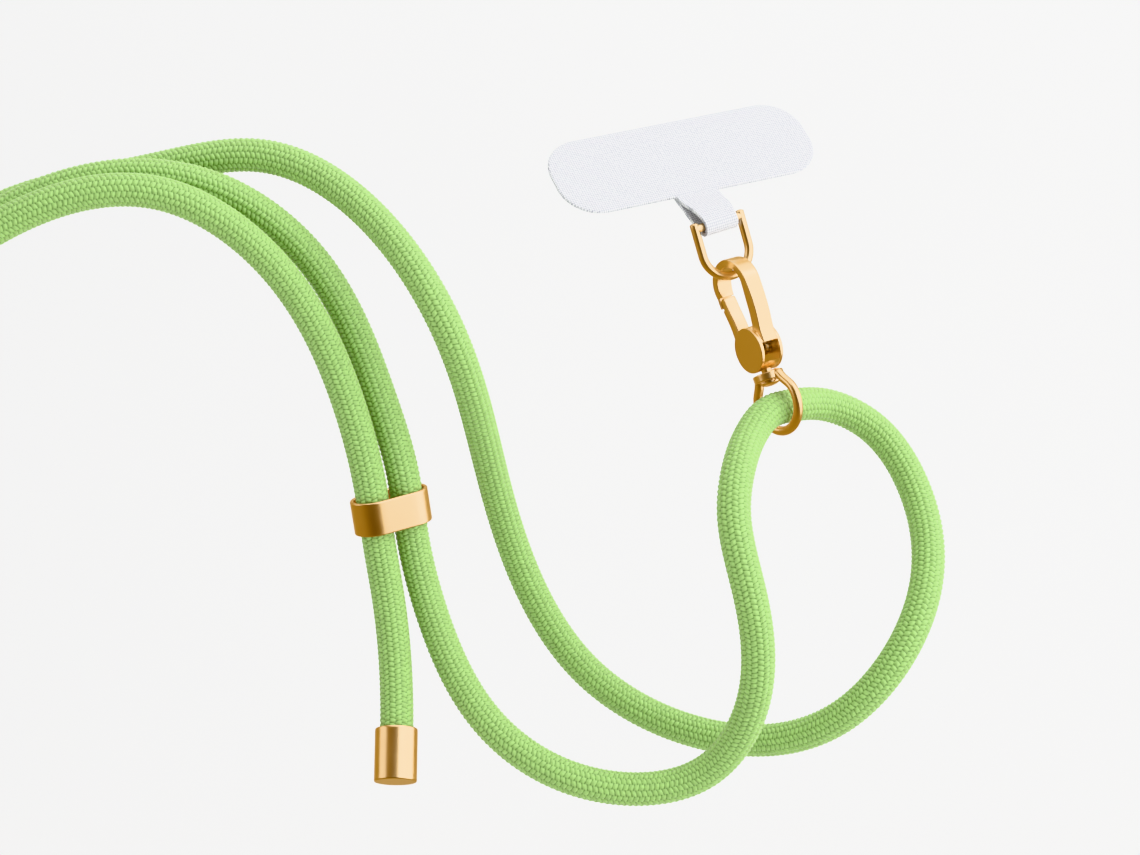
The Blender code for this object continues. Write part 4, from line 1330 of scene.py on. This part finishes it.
class STRAP_OT_patch(bpy.types.Operator):
    """Makes the cloth patch and its folded tab"""

    bl_idname = "strap.patch"
    bl_label = "Cloth patch"

    def execute(self, context):
        half = CLOTH_THICKNESS / 2
        across, up = PATCH_LENGTH / 2 - PATCH_CORNER, PATCH_HEIGHT / 2 - PATCH_CORNER
        rows = []
        for side in (-1, 1):
            for inset, level in PATCH_RIM if side > 0 else PATCH_RIM[:0:-1]:
                radius = PATCH_CORNER - inset / 1000
                corners = [
                    arc((sx * across, sy * up), radius, first, first + 90, 20)
                    for sx, sy, first in ((1, 1, 0), (-1, 1, 90), (-1, -1, 180), (1, -1, 270))
                ]
                outline = np.concatenate(corners)
                rows.append(np.column_stack([outline, np.full(len(outline), side * half * level)]))
        points, faces = skin(np.stack(rows))
        points = moved(patch_frame, points)
        patch = mesh_object("cloth_patch", points, faces, cloth_material(), CLOTH_SHARP_DEG)
        set_plane_uv(patch, patch_frame)

        fold = D_WIRE / 2 + RUNNING_GAP + half
        lower = -PATCH_HEIGHT / 2
        front = [
            (lower + TAB_LAP * FRONT_LAP_SHARE, 0.0),
            *[(lower - down, fold * depth) for down, depth in FRONT_BENDS],
            (TAB_STRAIGHT - TAB_DROP, fold),
        ]
        sewn = -CLOTH_THICKNESS * STACK_HEIGHT
        back = [
            (TAB_STRAIGHT - TAB_DROP, -fold),
            (lower - BACK_BEND[0], CLOTH_THICKNESS * BACK_BEND[1]),
            (lower, sewn),
            (lower + TAB_LAP, sewn),
        ]
        round_bar = arc((-TAB_DROP, 0.0), fold, 90, 270, 24)
        down = eased([*front, round_bar[0]], 24)
        up_again = eased([round_bar[-1], *back], 24)
        path = np.concatenate([down[:-1], round_bar, up_again[1:]])
        below = np.clip((lower - path[:, 0]) / (lower + TAB_DROP), 0, 1)
        widths = 1 - (1 - TAB_FOLD_WIDTH / TAB_TOP_WIDTH) * below**TAB_TAPER_POWER
        thickness = CLOTH_THICKNESS * TAB_THICKNESS_SHARE
        section = box_section(thickness, TAB_TOP_WIDTH, CLOTH_THICKNESS * TAB_EDGE_SHARE)
        grid = swept(path, section, "YZ", widths=widths)
        run = running(path)
        points, faces = skin(grid)
        points = moved(tab_frame, points)
        tab = mesh_object("cloth_tab", points, faces, cloth_material(), CLOTH_SHARP_DEG)
        self.set_tab_uv(tab, grid, run)
        for made in (patch, tab):
            place(made, "hook", "phone_patch")
        return {"FINISHED"}

    def set_tab_uv(self, tab, grid, run):
        """A UV map in millimetres: how far across the tab, and how far along its fold."""
        mesh = tab.data
        rows, columns = grid.shape[:2]
        if len(mesh.vertices) != rows * columns:
            raise RuntimeError("the tab's points were merged, so its UV map doesn't fit")
        corners = np.empty(len(mesh.loops), int)
        mesh.loops.foreach_get("vertex_index", corners)
        row, column = np.divmod(corners, columns)
        layer = mesh.uv_layers.new(name="UVMap")
        layer.data.foreach_set("uv", (np.stack([grid[row, column, 0], run[row]], axis=1) * 1000).ravel())


class STRAP_OT_stage(bpy.types.Operator):
    """Makes the floor, the backdrop and the soft lights"""

    bl_idname = "strap.stage"
    bl_label = "Stage"

    def execute(self, context):
        settings = context.scene.strap_stage
        material, tree, shader = new_material("pale_floor")
        change = add_variation(tree, (-700, 0), 6.0, 0.985, 1.0)
        shade = node(tree, "ShaderNodeMix", (-300, 0), data_type="RGBA", blend_type="MULTIPLY")
        shade.inputs["Factor"].default_value = 1.0
        shade.inputs["A"].default_value = (*settings.floor_colour, 1.0)
        tree.links.new(change.outputs["Value"], shade.inputs["B"])
        tree.links.new(shade.outputs["Result"], shader.inputs["Base Color"])
        shader.inputs["Roughness"].default_value = 0.9

        bend = arc((BEND_START, FLOOR_LEVEL + BEND_RADIUS), BEND_RADIUS, 270, 360, 24)
        top = (BEND_START + BEND_RADIUS, BACKDROP_TOP)
        profile = np.concatenate([[(FLOOR_FRONT, FLOOR_LEVEL)], bend, [top]])
        x = np.linspace(*FLOOR_SIDES, 9)[None]
        depth, height = profile[:, :1], profile[:, 1:]
        grid = np.stack([x + 0 * depth, depth + 0 * x, height + 0 * x], axis=-1)
        points, faces = skin(grid, wrap_columns=False, caps=False)
        floor = mesh_object("floor_and_backdrop", points, faces, material)
        floor.visible_glossy = False

        context.scene.world = studio_room(settings)
        for name, target, azimuth, elevation, distance, size, share in LIGHTS:
            data = bpy.data.lights.new(name, "AREA")
            data.shape = "RECTANGLE"
            data.size, data.size_y = size
            data.energy = settings.key_brightness * share * math.pi * size[0] * size[1]
            turn, rise = math.radians(azimuth), math.radians(elevation)
            level = math.cos(rise)
            away = np.array([math.sin(turn) * level, -math.cos(turn) * level, math.sin(rise)])
            spot = np.array(target) + away * distance
            light = bpy.data.objects.new(name, data)
            light.matrix_world = Matrix(facing(spot, away, (1.0, 0.0, 0.01)).tolist())
            context.scene.collection.objects.link(light)
        return {"FINISHED"}


def studio_room(settings):
    """The world: pale behind the stage, with even light and the warm dim walls that the plating mirrors.

    The even light grows from the viewer's side to the far one, and the mirrored walls are darkest on the
    viewer's side.
    """
    world = bpy.data.worlds.new("studio_room")
    world.use_nodes = True
    tree = world.node_tree
    path = node(tree, "ShaderNodeLightPath", (-900, 300))
    direction = node(tree, "ShaderNodeTexCoord", (-1300, -200))
    parts = node(tree, "ShaderNodeSeparateXYZ", (-1100, -200))
    depth = node(tree, "ShaderNodeMapRange", (-900, -200))
    depth.inputs["From Min"].default_value = -1.0
    walls = node(tree, "ShaderNodeValToRGB", (-700, -200))
    ramp = walls.color_ramp
    red, green, blue = settings.room_tint
    ramp.elements[0].color = (red * MIRRORED_FRONT[0], green * MIRRORED_FRONT[1], 0.0, 1.0)
    more_red, more_green, more_blue = MIRRORED_BACK
    ramp.elements[1].color = (red + more_red, green + more_green, blue + more_blue, 1.0)
    for at, share in MIRRORED_WALLS:
        ramp.elements.new(at).color = (red * share, green * share**1.3, blue * share**3, 1.0)
    mirrored = node(tree, "ShaderNodeMix", (-400, 0), data_type="RGBA")
    spread = EVEN_LIGHT_SPREAD * settings.room_brightness
    even = node(tree, "ShaderNodeMapRange", (-650, 100))
    even.inputs["From Min"].default_value = -1.0
    even.inputs["To Min"].default_value = settings.room_brightness - spread
    even.inputs["To Max"].default_value = settings.room_brightness + spread
    tree.links.new(parts.outputs["Y"], even.inputs["Value"])
    tree.links.new(even.outputs["Result"], mirrored.inputs["A"])
    seen = node(tree, "ShaderNodeMix", (-200, 100), data_type="RGBA")
    seen.inputs["B"].default_value = (*settings.floor_colour, 1.0)
    tree.links.new(direction.outputs["Generated"], parts.inputs["Vector"])
    tree.links.new(parts.outputs["Y"], depth.inputs["Value"])
    tree.links.new(depth.outputs["Result"], walls.inputs["Fac"])
    tree.links.new(path.outputs["Is Glossy Ray"], mirrored.inputs["Factor"])
    tree.links.new(walls.outputs["Color"], mirrored.inputs["B"])
    tree.links.new(path.outputs["Is Camera Ray"], seen.inputs["Factor"])
    tree.links.new(mirrored.outputs["Result"], seen.inputs["A"])
    tree.links.new(seen.outputs["Result"], tree.nodes["Background"].inputs["Color"])
    return world


class STRAP_PT_panel(bpy.types.Panel):
    """Lists the strap's pieces and settings"""

    bl_idname = "STRAP_PT_panel"
    bl_label = "Phone strap"
    bl_space_type = "VIEW_3D"
    bl_region_type = "UI"
    bl_category = "Strap"

    def draw(self, context):
        for owner in (
            context.scene.strap_rope,
            context.scene.strap_metal,
            context.scene.strap_cloth,
            context.scene.strap_stage,
        ):
            box = self.layout.box()
            for name in owner.__annotations__:
                box.prop(owner, name)
        for operator in OPERATORS:
            self.layout.operator(operator.bl_idname)


SETTINGS = {
    "strap_stage": StageSettings,
    "strap_rope": RopeSettings,
    "strap_metal": MetalSettings,
    "strap_cloth": ClothSettings,
}
OPERATORS = (
    STRAP_OT_camera,
    STRAP_OT_end_caps,
    STRAP_OT_rope,
    STRAP_OT_sliders,
    STRAP_OT_swivel,
    STRAP_OT_hook,
    STRAP_OT_gate,
    STRAP_OT_d_ring,
    STRAP_OT_patch,
    STRAP_OT_stage,
)


def register():
    for name, group in SETTINGS.items():
        bpy.utils.register_class(group)
        setattr(bpy.types.Scene, name, PointerProperty(type=group))
    for item in (*OPERATORS, STRAP_PT_panel):
        bpy.utils.register_class(item)


def unregister():
    for item in (STRAP_PT_panel, *OPERATORS):
        bpy.utils.unregister_class(item)
    for name, group in SETTINGS.items():
        delattr(bpy.types.Scene, name)
        bpy.utils.unregister_class(group)


def main():
    register()
    bpy.ops.strap.camera()
    bpy.ops.strap.end_caps()
    bpy.ops.strap.rope()
    bpy.ops.strap.sliders()
    bpy.ops.strap.swivel()
    bpy.ops.strap.hook()
    bpy.ops.strap.gate()
    bpy.ops.strap.d_ring()
    bpy.ops.strap.patch()
    bpy.ops.strap.stage()


if __name__ == "__main__":
    main()
